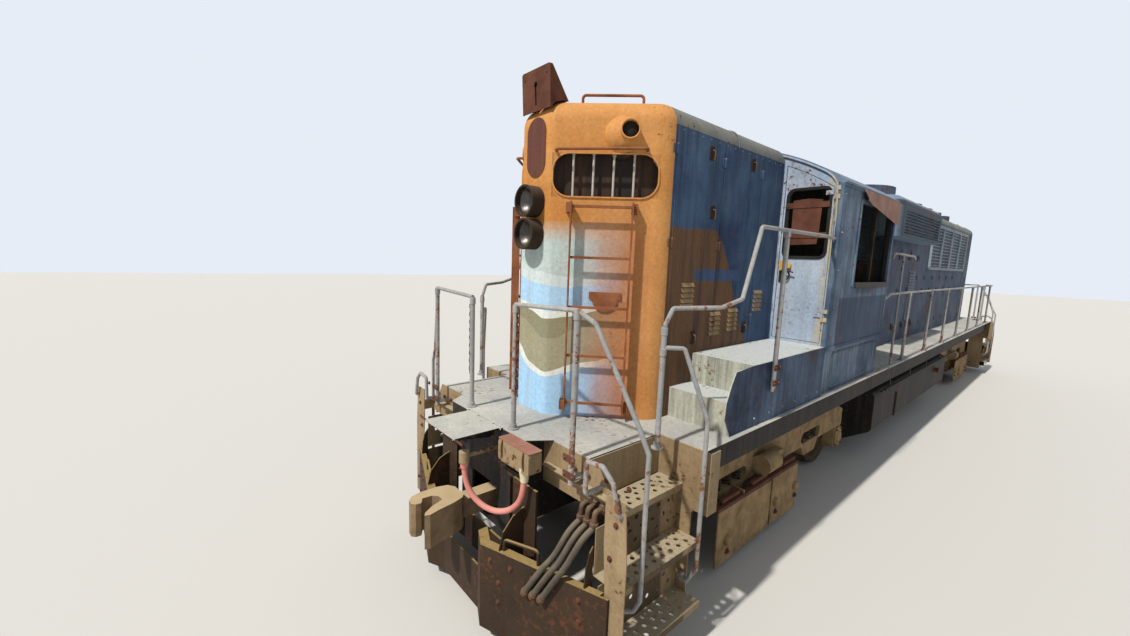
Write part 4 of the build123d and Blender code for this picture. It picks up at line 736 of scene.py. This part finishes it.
# %% Turned parts
def turned(name, profile, seats, finish, body="locomotive", slot=None, steps=28, smooth=True):
    whole = bmesh.new()
    for place in seats:
        start = [whole.verts.new(place @ Vector((r, 0, h))) for r, h in profile]
        edges = [whole.edges.new(pair) for pair in zip(start, start[1:])]
        bmesh.ops.spin(whole, geom=start + edges, cent=place.translation, axis=outward(place), angle=2 * pi,
                       steps=steps, use_merge=True, use_duplicate=False)
    bmesh.ops.remove_doubles(whole, verts=whole.verts, dist=0.0002)
    bmesh.ops.recalc_face_normals(whole, faces=whole.faces)
    for face in whole.faces:
        face.smooth = smooth
    piece = forged(name, whole, finish, body, slot)
    if smooth:
        piece.data.set_sharp_from_angle(angle=radians(35))
    return piece


# %% [markdown]
# The treads and risers of the corner steps are perforated plates. The CAD solid has them whole,
# so a copy of its mesh gets the holes cut by one boolean with all the drills in one mesh, and
# stands in for the node.

# %% Perforated steps
tread_rows = [
    # height of the top, outer edge, front
    (1.296, 1.37, 8.49),
    (0.896, 1.545, 8.61),
    (0.406, 1.59, 8.61),
]
riser_rows = [
    # foot, place across
    (0.896, 1.32),
    (0.406, 1.365),
]
tread_pitch, riser_pitch = 0.098, 0.13
first_hole = 7.8
sideways = Matrix.Rotation(pi / 2, 4, "Y")
drills = bmesh.new()


def drill(x, y, z, radius, way=Matrix()):
    bmesh.ops.create_cone(drills, cap_ends=True, segments=10, radius1=radius, radius2=radius, depth=0.03,
                          matrix=at(x, y, z) @ way)


for end, side in corners:
    for row in range(3):
        # each second row is set off by half a pitch
        for top, outer, front in tread_rows:
            for hole in range(int((front - first_hole) / tread_pitch)):
                along = first_hole - 0.025 + tread_pitch * (hole + 0.5 * (row % 2))
                drill(side * (outer - 0.062 - 0.06 * row), end * along, top, 0.019)
        for foot, across in riser_rows:
            for hole in range(6):
                along = first_hole + riser_pitch * (hole + 0.5 * (row % 2))
                drill(side * across, end * along, foot + 0.09 * (row + 1), 0.02, sideways)
drill_mesh = bpy.data.meshes.new("step_drills")
drills.to_mesh(drill_mesh)
drills.free()
drill_holder = stand("step_drills", drill_mesh)
steps = stand("perforated_steps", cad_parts["step_wells"].data.copy())
punch = steps.modifiers.new("punch", "BOOLEAN")
punch.object = drill_holder
punch.operation = "DIFFERENCE"
punch.solver = "EXACT"
punched = bpy.data.meshes.new_from_object(steps.evaluated_get(bpy.context.evaluated_depsgraph_get()))
steps.modifiers.clear()
steps.data = punched
bpy.data.objects.remove(drill_holder)
steps.data.materials.clear()
fit(steps, "tan")
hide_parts("step_wells")
print("steps have", len(punched.polygons), "faces")

# %% [markdown]
# The front cab door has lost its glass. A rusty board stands in the opening behind two straps, and
# the rubber that held the pane is still there. All of this swings with the door.

# %% Door window
strap_heights = (0.195, -0.13)
door_out = seat((1.183, -5.375, 3.501), (1, 0, 0))
pane = rounded_sheet(0.412, 0.712, 0.058)
ring = [rounded_sheet(0.47, 0.77, 0.085), pane]
cut_plates("door_window_rubber", ring, 0.01, [door_out], "gasket", "door_front")
behind_straps = [moved(door_out, 0, 0, 0.0105)]
board = [[(-0.148, -0.105), (0.14, -0.112), (0.146, 0.245), (0.01, 0.262), (-0.15, 0.25)]]
cut_plates("door_window_board", board, 0.006, behind_straps, "rust", "door_front")
strap_seats = [moved(door_out, 0, height, 0.017) for height in strap_heights]
strap = [rounded_sheet(0.44, 0.058, 0.006)]
cut_plates("door_window_straps", strap, 0.006, strap_seats, "rust", "door_front")
lower_board = [[(-0.165, -0.235), (0.128, -0.222), (0.135, -0.118), (-0.16, -0.12)]]
cut_plates("door_window_lower_board", lower_board, 0.006, behind_straps, "rust", "door_front")
strap_bolts = [(door_out @ Vector((x, y, 0.023)), (0, -1, 0)) for x in (-0.2, 0.2) for y in strap_heights]
bolt_heads("door_strap_bolts", strap_bolts, 0.009, body="door_front")
rear_out = seat((-1.183, -3.375, 3.501), (-1, 0, 0))
cut_plates("rear_door_window_rubber", ring, 0.01, [rear_out], "gasket", "door_rear")
cut_plates("rear_door_pane", [pane], 0.006, [moved(rear_out, 0, 0, -0.025)], "glass", "door_rear")

# %% [markdown]
# Each cab door has a lever handle on a plate, and a yellow clamp locks the front one. The lever is
# one bent rod, as on the real lock.

# %% Door locks
lever = [(0, 0.04, 0.008), (0, 0.04, 0.045), (0.03, 0.04, 0.052), (0.1, 0.035, 0.052), (0.135, 0.02, 0.046)]
for body, place in (("door_front", door_out), ("door_rear", rear_out)):
    low = moved(place, -0.205, -0.56, 0)
    cut_plates(body + "_lock_plate", [rounded_sheet(0.075, 0.19, 0.012)], 0.008, [low], "iron", body)
    bent_rods(body + "_lever", [carried(low, lever)], 0.008, "iron", body)
clamp = moved(door_out, -0.2, -0.47, 0)
clamp_shape = [[(-0.035, -0.05), (0.02, -0.05), (0.024, -0.022), (0.085, -0.02), (0.085, 0.022),
                (0.022, 0.024), (0.018, 0.055), (-0.035, 0.055)]]
cut_plates("yellow_clamp", clamp_shape, 0.036, [clamp], "yellow", "door_front", edge=0.003)
hook = [(0.04, -0.02, 0.02), (0.075, -0.06, 0.024), (0.08, -0.12, 0.024), (0.05, -0.16, 0.022),
        (0.005, -0.15, 0.02), (-0.015, -0.11, 0.018)]
bent_rods("clamp_shackle", [carried(clamp, hook)], 0.009, "iron", "door_front")

# %% [markdown]
# The cab's front corner carries a rain strip that follows the roof's arch and runs down the edge,
# and the fixed panes and side windows sit in frames of their own.

# %% Cab edges and window frames
arch_radius = 2.59
arch_middle = 4.431 - 2.6 - 0.016
arch_angles = [radians(-33 + 66 * i / 16) for i in range(17)]
strips = []
for y in (-5.39, -3.36):
    arch = [(arch_radius * sin(angle), y, arch_middle + arch_radius * cos(angle)) for angle in arch_angles]
    strips.append([(-1.475, y, 3.3), (-1.475, y, 3.85), *arch, (1.475, y, 3.85), (1.475, y, 3.3)])
bent_rods("cab_rain_strips", strips, 0.011, "cab")
pane_ring = [rounded_sheet(0.54, 0.82, 0.05), rounded_sheet(0.47, 0.75, 0.03)]
pane_seats = [seat((-1.183, -5.38, 3.516), (1, 0, 0)), seat((1.183, -3.37, 3.516), (-1, 0, 0))]
cut_plates("cab_pane_rubber", pane_ring, 0.01, pane_seats, "gasket")
side_ring = [rounded_sheet(1.39, 0.99, 0.03), rounded_sheet(1.3, 0.9, 0.02)]
window_seats = side_seats((cab_plane, window_middle, 3.311))
cut_plates("side_window_frames", side_ring, 0.014, window_seats, "cab_side")
mullion_seats = [moved(place, 0, 0, -0.045) for place in window_seats]
cut_plates("side_window_mullions", [rounded_sheet(0.035, 0.91, 0.004)], 0.03, mullion_seats, "iron")
rest_seats = side_seats((1.534, window_middle, 2.84))
cut_plates("window_arm_rests", [rounded_sheet(1.25, 0.06, 0.01)], 0.018, rest_seats, "vinyl")

# %% [markdown]
# Outside, bent sheets hang from the sunshades, and behind each side of the cab stands a grab pipe.
# Belts and the frame of a blank panel stand out from the sheet, each cut from one flat plate.

# %% Shades, grab pipes and belts
shade_sheet = [[(-0.815, 0.135), (0.635, 0.135), (0.635, -0.13), (0.6, -0.15), (-0.565, 0.01)]]
shade_seats = [seat((x, window_middle, 3.75), (0, 1, 0)) for x in (1.583, -1.589)]
cut_plates("sunshade_sheets", shade_sheet, 0.006, shade_seats, "shade")
grab_lines = [
    # along, height
    [(-2.62, deck_top), (-2.62, 2.4), (-2.62, 3.25)],
    [(-3.16, 3.19), (-3.15, 3.262), (-2.9, 3.262), (-2.2, 3.25), (-1.96, 3.25), (-1.945, 3.2)],
]
grab_pipe = [[(side * 1.495, y, z) for y, z in line] for side in sides for line in grab_lines]
bent_rods("cab_grab_pipes", grab_pipe, 0.016, "pipe")
under_panel = [rounded_sheet(1.56, 0.42, 0.05), rounded_sheet(1.53, 0.39, 0.036)]
cut_plates("under_cab_panel_frames", under_panel, 0.008, side_seats((1.485, -4.3, 1.87)), "box")
belts = side_seats((cab_plane, -4.375, 2.16), (cab_plane, -4.375, 3.895))
cut_plates("cab_side_belts", [rounded_sheet(1.99, 0.03, 0.004)], 0.01, belts, "cab_side")

# %% [markdown]
# Long seams between the hood doors show as dark gaps with hinges and latches. The hinges are short
# turned barrels and the latches are small plates with a bent handle.

# %% Hood hinges and latches
hinge_rows = [
    # places along the hood, heights
    ((-7.405, -6.643, -5.893), (2.45, 3.19, 3.97)),
    ((-2.896, -2.196, -1.496, -0.796, -0.096, 0.604), (1.9, 2.65, 3.4)),
    ((1.304, 2.004, 2.804, 3.604, 4.404, 5.204), (1.9, 2.9)),
]
hinges = [(y, z) for places, heights in hinge_rows for y in places for z in heights]
latches = [(-6.88, 4.02), (-6.1, 4.04), (-6.8, 3.5), (-6.98, 2.33), (-6.02, 2.36)]
latches += [(y + 0.6, z) for y in hinge_rows[1][0] for z in (3.3, 1.95)]
latches += [(y + 0.6, 2.6) for y in hinge_rows[2][0]]
barrel = [(0, 0), (0.01, 0), (0.011, 0.004), (0.011, 0.086), (0.01, 0.09), (0, 0.09)]
hinge_seats = [at(side * 0.9, y, z - 0.045) for side in sides for y, z in hinges]
turned("hood_hinge_barrels", barrel, hinge_seats, "side", steps=10)
leaf_seats = side_seats(*[(hood_plane, y, z) for y, z in hinges])
cut_plates("hood_hinge_leaves", [rounded_sheet(0.09, 0.075, 0.006)], 0.005, leaf_seats, "side")
plate_seats = side_seats(*[(hood_plane, y, z) for y, z in latches])
cut_plates("hood_latch_plates", [rounded_sheet(0.07, 0.12, 0.01)], 0.007, plate_seats, "iron")
handle = [(0, 0.025, 0.007), (0, 0.025, 0.03), (0, 0, 0.036), (0, -0.045, 0.036), (0, -0.06, 0.03)]
bent_rods("hood_latch_handles", [carried(place, handle) for place in plate_seats], 0.006, "bolt")

# %% [markdown]
# The hood's roof sheet overlaps the side sheets and is bolted down in rows. Battens cover its joints.

# %% Roof battens and bolt rows
bolt_rows = ((14, -7.33, 0.142), (58, -3.25, 0.183))
roof_bolts = side_spots(*[(0.8895, first + pitch * i, 4.135) for count, first, pitch in bolt_rows
                          for i in range(count)])
bolt_heads("roof_edge_bolts", roof_bolts, 0.008, "roof", slot="roof_steel")
half = [(0.889, 4.15), (0.889, 4.19), (0.872, 4.262), (0.826, 4.316), (0.76, 4.341), (0.7, 4.3465)]
bow = half + [(-x, z) for x, z in reversed(half)]
battens = [[(x, along, z) for x, z in bow] for along in (-6.4, -2.6, -2.15, 1.62, 2.14, 6.72)]
bent_rods("roof_battens", battens, 0.006, "roof")
lugs = [seat((x, y, 4.346), (1, 0, 0)) for x in (-0.6, 0.6) for y in (-2.45, 1.75, 6.8)]
lug = [[(-0.06, 0), (0.06, 0), (0.045, 0.07), (0, 0.095), (-0.045, 0.07)], round_hole(0.022, (0, 0.05))]
cut_plates("roof_lifting_lugs", lug, 0.014, lugs, "roof")

# %% [markdown]
# At both ends, the headlight barrels keep their rims and dull reflectors, and the class lamps
# beside the number boards still have dark glass in rims that are painted over.

# %% Lamps at both ends
lamp_heights = (3.506, 3.226)
bowl = [(0, 0), (0.05, 0.008), (0.085, 0.03), (0.108, 0.062), (0.1215, 0.066)]
lamp_seats = [end_seat(end, 0, 8.222, height) for end in ends for height in lamp_heights]
turned("headlight_reflectors", bowl, lamp_seats, "lamp")
rim = [(0.119, 0), (0.119, 0.0055), (0.137, 0.0055), (0.137, -0.016), (0.1352, -0.018)]
rim_seats = [end_seat(end, 0, 8.324, height) for end in ends for height in lamp_heights]
turned("headlight_rims", rim, rim_seats, "iron", steps=36)


def on_bevel(end, side, out):
    away = Vector((side * bevel_x, end * bevel_y, 0))
    along = Vector((side * bevel_y, -end * bevel_x, 0))
    start = Vector((side * 0.2, end * 8.2, 4.076))
    return seat(start + along * 0.647 + away * out, (-away.y, away.x, 0))


class_seats = [on_bevel(end, side, 0.048) for end, side in corners]
print("class lamp faces", [tuple(round(v, 2) for v in outward(place)) for place in class_seats])
dome = [(0, 0.022), (0.03, 0.019), (0.055, 0.01), (0.069, 0), (0.0695, -0.01)]
turned("class_lamp_lenses", dome, class_seats, "gasket", slot="dark_iron")
class_rim = [(0.068, 0), (0.068, 0.006), (0.076, 0.009), (0.0825, 0.004), (0.0825, -0.006)]
turned("class_lamp_rims", class_rim, [on_bevel(end, side, 0.0955) for end, side in corners], "nose", steps=32)

# %% [markdown]
# The box above the headlights is a flat plate with a keyhole, held upright by two gussets and
# closed by a sloping back sheet. The real one is shallower than a solid block would suggest.

# %% Lamp plate above the headlights
plate_seat = seat((0, -8.211, 4.266), (1, 0, 0), (0, -0.02, 0.34))
keyhole = [(-0.018, 0.045), (-0.018, 0.195), (-0.028, 0.212), (-0.018, 0.232), (0.002, 0.238), (0.018, 0.226),
           (0.02, 0.206), (0.006, 0.193), (0.006, 0.045)]
plate = [(-0.193, 0), (-0.193, 0.325), (-0.18, 0.338), (0.18, 0.338), (0.193, 0.325), (0.193, 0)]
lamp_plate = cut_plates("lamp_plate", [plate, keyhole], 0.006, [plate_seat], "rust")
side_shape = [[(-8.212, 4.268), (-8.23, 4.6), (-8.205, 4.6), (-8.02, 4.351), (-8.085, 4.346),
               (-8.165, 4.316), (-8.205, 4.266)]]
gusset_seats = [seat((x, 0, 0), (0, 1, 0)) for x in (-0.193, 0.187)]
gussets = cut_plates("lamp_plate_gussets", side_shape, 0.006, gusset_seats, "rust")
back = [[(-0.186, 0), (0.186, 0), (0.186, 0.305), (-0.186, 0.305)]]
back_seat = seat((0, -8.022, 4.353), (1, 0, 0), (0, -0.19, 0.248))
backs = cut_plates("lamp_plate_back", back, 0.004, [back_seat], "rust")
for piece in (lamp_plate, gussets, backs):
    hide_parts("lamp_box")
bolt_heads("lamp_plate_bolts", [((x, -8.2335, 4.545), (0, -1, 0.06)) for x in (-0.15, 0.15)], 0.009)

# %% [markdown]
# Six air hoses leave elbows in the corner sheets, three at each end, and hang over the plow. Each
# is a free hose, so its line is one NURBS curve through the CAD route's points, and a steel
# coupling closes its end.

# %% Air hoses
hose_route = [
    # inward, out, down
    (0, 0.075, 0),
    (0.005, 0.15, 0.028),
    (0.032, 0.205, 0.125),
    (0.095, 0.232, 0.275),
]
hose_ends = [
    # inward, down: the hose's end hangs in front of the plow
    (0.13, 0.35),
    (0.25, 0.57),
]
coupling = [(0, -0.03), (0.0245, -0.03), (0.0245, -0.012), (0.029, -0.01), (0.029, 0.012),
            (0.024, 0.014), (0.024, 0.026), (0.017, 0.03), (0, 0.026)]
elbow = [
    # along from the middle, height
    (8.502, 1.326), (8.56, 1.326), (8.583, 1.322), (8.59, 1.3), (8.592, 1.26), (8.595, 1.214),
]


def plow_face(across):
    # how far out the plow's face stands at a distance from the middle line
    return 8.99 - 0.3465 * (across - 0.47)


elbows = []
nuts = []
for end in ends:
    for number, across in enumerate((1.15, 1.215, 1.28)):
        points = [(across - inward, 8.52 + out, down) for inward, out, down in hose_route]
        points += [(across - inward, plow_face(across - inward) + 0.036, down) for inward, down in hose_ends]
        line = [Vector((-end * x, end * y, 1.216 - down)) for x, y, down in points]
        label = ("front" if end < 0 else "rear") + str(number + 1)
        hose = hanging_line("air_hose_" + label, line, 0.022, "mu_hoses")
        hose.data.materials.append(finishes["hose"])
        way = (line[-1] - line[-2]).normalized()
        tip_seat = seat(line[-1], way.orthogonal(), way.cross(way.orthogonal()))
        tip = turned("hose_coupling_" + label, coupling, [tip_seat], "bolt", steps=16)
        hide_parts("mu_hoses")
        elbows.append([(-end * across, end * y, z) for y, z in elbow])
        nuts.append(seat((-end * across, end * 8.52, 1.326), (1, 0, 0), (0, 0, end)))
        nuts.append(at(-end * across, end * 8.592, 1.24))
elbow_pipes = bent_rods("hose_elbows", elbows, 0.02, "bolt")
nut = [(0.018, -0.014), (0.031, -0.014), (0.033, -0.01), (0.033, 0.01), (0.031, 0.014), (0.018, 0.014)]
elbow_nuts = turned("hose_elbow_nuts", nut, nuts, "bolt", steps=6, smooth=False)
for piece in (elbow_pipes, elbow_nuts):
    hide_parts("mu_hoses")

# %% [markdown]
# The jumper ends in a tapered rubber plug at the receptacle and in a cap at the dummy socket. The
# receptacle has a hinged lid with a spring clip.

# %% Jumper plug and receptacle lid
taper = [(0.0235, -0.085), (0.03, -0.08), (0.036, -0.03), (0.041, 0), (0.043, 0.03), (0.038, 0.036),
         (0, 0.036)]
turned("jumper_plug", taper, [at(0.7, -8.76, 1.441)], "cream")
sleeve = [(0.0235, -0.05), (0.029, -0.046), (0.034, 0), (0, 0.004)]
turned("jumper_socket_sleeve", sleeve, [at(0.205, -8.99, 1.391)], "cable")
lid_seats = [at(-end * 0.6, end * 8.738, 1.6115) for end in ends]
cut_plates("receptacle_lids", [rounded_sheet(0.41, 0.125, 0.02)], 0.007, lid_seats, "lid", edge=0.002)
clip = [(8.8, 1.47), (8.812, 1.51), (8.812, 1.59), (8.802, 1.612)]
clips = [[(-end * x, end * y, z) for y, z in clip] for end in ends for x in (0.46, 0.74)]
bent_rods("receptacle_clips", clips, 0.006, "bolt")

# %% [markdown]
# Rusty chains hang from the inner end posts. A chain is many equal links, each a short rod bent
# to an oval and turned a quarter against the one above.

# %% Chains on the inner posts
link_wide, link_tall, link_wire = 0.013, 0.024, 0.0048
link_pitch, link_count = 0.036, 19
chains = bmesh.new()


def chain_link(place):
    rings = []
    for angle in [2 * pi * step / 12 for step in range(12)]:
        centre = Vector((link_wide * cos(angle), 0, link_tall * sin(angle)))
        spokes = [Vector((cos(angle) * cos(around), sin(around), sin(angle) * cos(around)))
                  for around in [2 * pi * i / 6 for i in range(6)]]
        rings.append([chains.verts.new(place @ (centre + spoke * link_wire)) for spoke in spokes])
    for first, second in zip(rings, rings[1:] + rings[:1]):
        for i in range(6):
            chains.faces.new((first[i], first[(i + 1) % 6], second[(i + 1) % 6], second[i]))


for end, side in corners:
    for number in range(link_count):
        hung = at(side * 0.372, end * post_line, 2.6 - link_pitch * number)
        chain_link(hung @ Matrix.Rotation(pi / 2 * (number % 2), 4, "Z"))
bmesh.ops.recalc_face_normals(chains, faces=chains.faces)
for face in chains.faces:
    face.smooth = True
forged("post_chains", chains, "rust", "locomotive", "dark_iron")
hook_line = [(0.352, 2.64), (0.374, 2.642), (0.378, 2.625), (0.372, 2.612)]
hooks = [[(side * x, end * post_line, z) for x, z in hook_line] for end, side in corners]
bent_rods("chain_hooks", hooks, 0.005, "rust", slot="dark_iron")

# %% [markdown]
# Flat side plates hang low on the trucks, in two lengths with a gap between them, on rusty rails
# and with big round pin heads. They move with the truck.

# %% Truck side plates
plate_kinds = [
    # name, outlines, thickness, finish, edge, places (across, along, height)
    ("_long_plates", [[(-0.545, -0.285), (0.545, -0.265), (0.545, 0.275), (-0.545, 0.285)]], 0.02, "casting",
     0.004, [(1.235, 6.315, 0.385)]),
    ("_short_plates", [[(-0.335, -0.262), (0.335, -0.262), (0.32, 0.285), (-0.335, 0.285)]], 0.02, "casting",
     0.004, [(1.235, 5.385, 0.385)]),
    ("_upper_rails", [rounded_sheet(1.78, 0.03, 0.005)], 0.045, "rust", 0.0015, [(1.205, 5.97, 0.69)]),
    ("_rail_ends", [rounded_sheet(0.33, 0.034, 0.005)], 0.04, "rust", 0.0015,
     [(1.19, 6.6, 0.745), (1.19, 6, 0.745), (1.19, 5.27, 0.745)]),
]
pin_head = [(0.052, 0), (0.054, 0.012), (0.048, 0.034), (0.03, 0.047), (0, 0.05)]
pin_places = [(6.68, 0.33), (5.63, 0.375), (5.12, 0.405)]
bracket = [rounded_sheet(0.145, 0.2, 0.01)]
bracket_places = [(6.36, 0.64), (5.334, 0.56)]
trucks = (("truck_front", -1), ("truck_rear", 1))
for body, end in trucks:
    for name, outlines, thick, finish, edge, places in plate_kinds:
        seats = side_seats(*[(x, end * y, z) for x, y, z in places])
        cut_plates(body + name, outlines, thick, seats, finish, body, edge=edge)
    pin_seats = side_seats(*[(1.255, end * y, z) for y, z in pin_places])
    turned(body + "_pin_heads", pin_head, pin_seats, "casting", body, steps=18)
    bracket_seats = [seat((side * 1.166, end * y + 0.01, z), (side, 0, 0)) for side in sides
                     for y, z in bracket_places]
    cut_plates(body + "_plate_brackets", bracket, 0.02, bracket_seats, "casting", body)
    low_pins = [(place @ Vector((0.02, -0.125, 0)), outward(place)) for place in pin_seats]
    bolt_heads(body + "_plate_bolts", low_pins, 0.024, "rust", body)

# %% [markdown]
# Each axle box has a cap with four bolts, and coil springs stand in the windows of the side frames.

# %% Axle box caps and springs
truck_middle, axle_pitch = 5.334, 2.07
coil_radius, coil_height, coil_steps = 0.055, 0.14, 32
cap = [(0, 0.03), (0.055, 0.028), (0.078, 0.018), (0.086, 0)]


def coil(x, y, foot):
    # a turn takes eight points
    return [(x + coil_radius * cos(pi / 4 * i), y + coil_radius * sin(pi / 4 * i),
             foot + coil_height * i / coil_steps) for i in range(coil_steps + 1)]


for body, end in trucks:
    boxes = [(1.12, end * truck_middle + axle, 0.534) for axle in (-axle_pitch, 0, axle_pitch)]
    turned(body + "_box_caps", cap, side_seats(*boxes), "casting", body, steps=24)
    cap_bolts = [(x, y + dy, z + dz) for x, y, z in boxes for dy in (-0.085, 0.085) for dz in (-0.115, 0.115)]
    bolt_heads(body + "_box_bolts", side_spots(*cap_bolts), 0.014, "rust", body)
    coils = [coil(side * 1.02, end * truck_middle + window + place, 0.734) for side in sides
             for window in (-axle_pitch / 2, axle_pitch / 2) for place in (-0.2, 0, 0.2)]
    bent_rods(body + "_springs", coils, 0.012, "iron", body)

# %% [markdown]
# The handrail posts stand in bolted sockets. A socket is a small plate with a collar, and it is
# the same turned part at every post.

# %% Post sockets
walk_posts = (-2, -0.5, 1, 2.5, 4, 5.5, 7)
collar = [(0.0215, 0), (0.046, 0), (0.046, 0.01), (0.03, 0.014), (0.028, 0.045), (0.0215, 0.048)]
post_feet = [(1.29, -7.96), (1.29, 7.96), (0.34, -post_line), (0.34, post_line)]
post_feet += [(walk_line, y) for y in walk_posts]
feet = [at(side * x, y, deck_top) for side in sides for x, y in post_feet]
turned("post_sockets", collar, feet, "pipe", steps=16)

# %% [markdown]
# At the corners the posts have no socket. Two flat straps with two bolts each hold them there
# against the sheet, and all straps are cut to one pattern.

# %% Straps that hold the corner posts
strap_seats = side_seats((1.5605, -6.64, 1.99), (1.5605, -6.64, 2.13))
strap_bolts = side_spots(*[(1.5665, -6.64 + d, z) for d in (-0.042, 0.042) for z in (1.99, 2.13)])
for end, side in corners:
    for z in (1.52, 1.64):
        strap_seats.append(end_seat(end, side * 1.06, 8.642, z))
        strap_bolts += [((side * 1.06 + d, end * 8.648, z), (0, end, 0)) for d in (-0.042, 0.042)]
cut_plates("post_straps", [rounded_sheet(0.12, 0.05, 0.008)], 0.006, strap_seats, "rust")
bolt_heads("post_strap_bolts", strap_bolts, 0.01)

# %% [markdown]
# Where a rail meets a post, a cast tee with a thickened rim joins the two pipes. Only the rim
# shows, so one turned ring stands for it at every joint.

# %% Tees on the rails
joint = [(0.0205, -0.03), (0.026, -0.026), (0.026, 0.026), (0.0205, 0.03)]
tee_places = [(walk_line, y, 2.668) for y in walk_posts]
tee_places += [(1.538, -6.64, 3.3), (1.29, -7.96, 2.365), (1.29, -7.96, 2.52)]
tee_places += [(x, end * post_line, z) for end in ends for x, z in ((1.06, 2.645), (0.34, 2.612))]
tees = [at(side * x, y, z) for side in sides for x, y, z in tee_places]
turned("post_tees", joint, tees, "pipe", steps=16)

# %% [markdown]
# Bolts show wherever plates meet: round the corner sheets, along the plow and its gussets, on the
# stringers and down the edges of the battery boxes.

# %% Bolts on the plate work
flat_spots = [
    # across, along, height
    (1.12, 8.51, 1.5), (1.3, 8.51, 1.54), (1.5, 8.51, 1.56), (1.5, 8.51, 1.33), (0.98, 8.51, 1.5),
    (1.46, 8.618, 1.1), (1.46, 8.618, 0.6), (1.55, 8.618, 0.45), (1.42, 8.618, 0.45), (1.5, 8.618, 1.35),
]
plow_spots = [(x, 0.735) for x in (0.56, 0.74, 0.92, 1.1, 1.28)]
plow_spots += [(x, z) for x in (0.64, 1.29) for z in (0.42, 0.58)]
spots = []
for end, side in corners:
    spots += [((side * x, end * y, z), (0, end, 0)) for x, y, z in flat_spots]
    face = Vector((side * 0.3274, end * 0.9449, 0))
    spots += [((side * x, end * plow_face(x), z), face) for x, z in plow_spots]
bolt_heads("plate_bolts", spots, 0.015, "rust")
edge_spots = [(1.5155, -6.9 + 0.28 * i, 1.7) for i in range(6)]
edge_spots += [(1.5205, y, z) for y in (-5.3, -3.45) for z in (2.3, 2.6, 3, 3.4, 3.8)]
bolt_heads("box_and_cab_bolts", side_spots(*edge_spots), 0.009, "box", slot="cab_steel")

# %% [markdown]
# Loose things in the cab show through the open windows: brake levers, a throttle and three gauges.

# %% Control stand details
levers = [
    [(-0.7, -4.52, 3.326), (-0.7, -4.5, 3.4), (-0.72, -4.44, 3.44), (-0.76, -4.36, 3.45)],
    [(-0.58, -4.52, 3.326), (-0.58, -4.5, 3.38), (-0.6, -4.44, 3.4), (-0.64, -4.37, 3.405)],
    [(-0.5, -4.48, 3.326), (-0.5, -4.46, 3.36), (-0.5, -4.4, 3.37)],
]
bent_rods("brake_levers", levers, 0.01, "brass")
gauge = [(0, 0.016), (0.044, 0.016), (0.046, 0.024), (0.052, 0.024), (0.054, 0)]
gauge_seats = [seat((x, -4.39, 3.24), (-1, 0, 0)) for x in (-0.74, -0.62, -0.5)]
turned("control_gauges", gauge, gauge_seats, "iron", steps=24)
knob = [(0, 0), (0.018, 0.006), (0.022, 0.02), (0.018, 0.034), (0, 0.04)]
knob_seats = [at(*line[-1]) @ at(0, 0, -0.02) for line in levers]
turned("lever_knobs", knob, knob_seats, "vinyl", slot="dark_iron", steps=14)

# %% [markdown]
# The fuel tank has a filler with a cap and a sight gauge at each side. Pipes run under the sill
# between the trucks.

# %% Tank fittings and sill pipes
filler = [(0, 0.085), (0.05, 0.085), (0.056, 0.078), (0.056, 0.052), (0.042, 0.048), (0.042, 0.01),
          (0.07, 0.006), (0.07, 0)]
turned("fuel_fillers", filler, side_seats((1.37, 1.55, 0.96)), "rust", slot="dark_iron", steps=24)
sight_ring = [rounded_sheet(0.07, 0.42, 0.02), rounded_sheet(0.022, 0.34, 0.008)]
cut_plates("sight_gauges", sight_ring, 0.014, side_seats((1.37, -1.4, 0.76)), "iron")
pipes = [[(side * x, y, z) for y in (-2.7, -1, 1, 2.7)] for side in sides
         for x, z in ((1.5, 1.25), (1.455, 1.215))]
bent_rods("sill_pipes", pipes, 0.014, "frame")
pipe_clips = side_seats(*[(1.478, y, 1.29) for y in (-2.4, -1.2, 0, 1.2, 2.4)])
cut_plates("sill_pipe_clips", [rounded_sheet(0.04, 0.19, 0.008)], 0.008, pipe_clips, "frame")

# %% [markdown]
# Under each deck edge a lever rod runs from the corner to the coupler, so that the coupler's pin
# can be pulled from the side. It is one bent rod in two ears of flat plate.

# %% Coupler levers and ears
rod_line = [(1.3, 8.7, 1.27), (1.22, 8.74, 1.3), (1.1, 8.745, 1.3), (0.4, 8.745, 1.3),
            (0.2, 8.755, 1.298), (0.15, 8.8, 1.27)]
lever_rods = [[(end * x, end * y, z) for x, y, z in rod_line] for end in ends]
bent_rods("coupler_levers", lever_rods, 0.012, "rust", slot="dark_iron")
ears = [seat((end * x, end * 8.69, 1.3), (0, end, 0)) for end in ends for x in (0.92, 0.45)]
cut_plates("coupler_lever_ears", [rounded_sheet(0.14, 0.06, 0.02)], 0.01, ears, "rust")
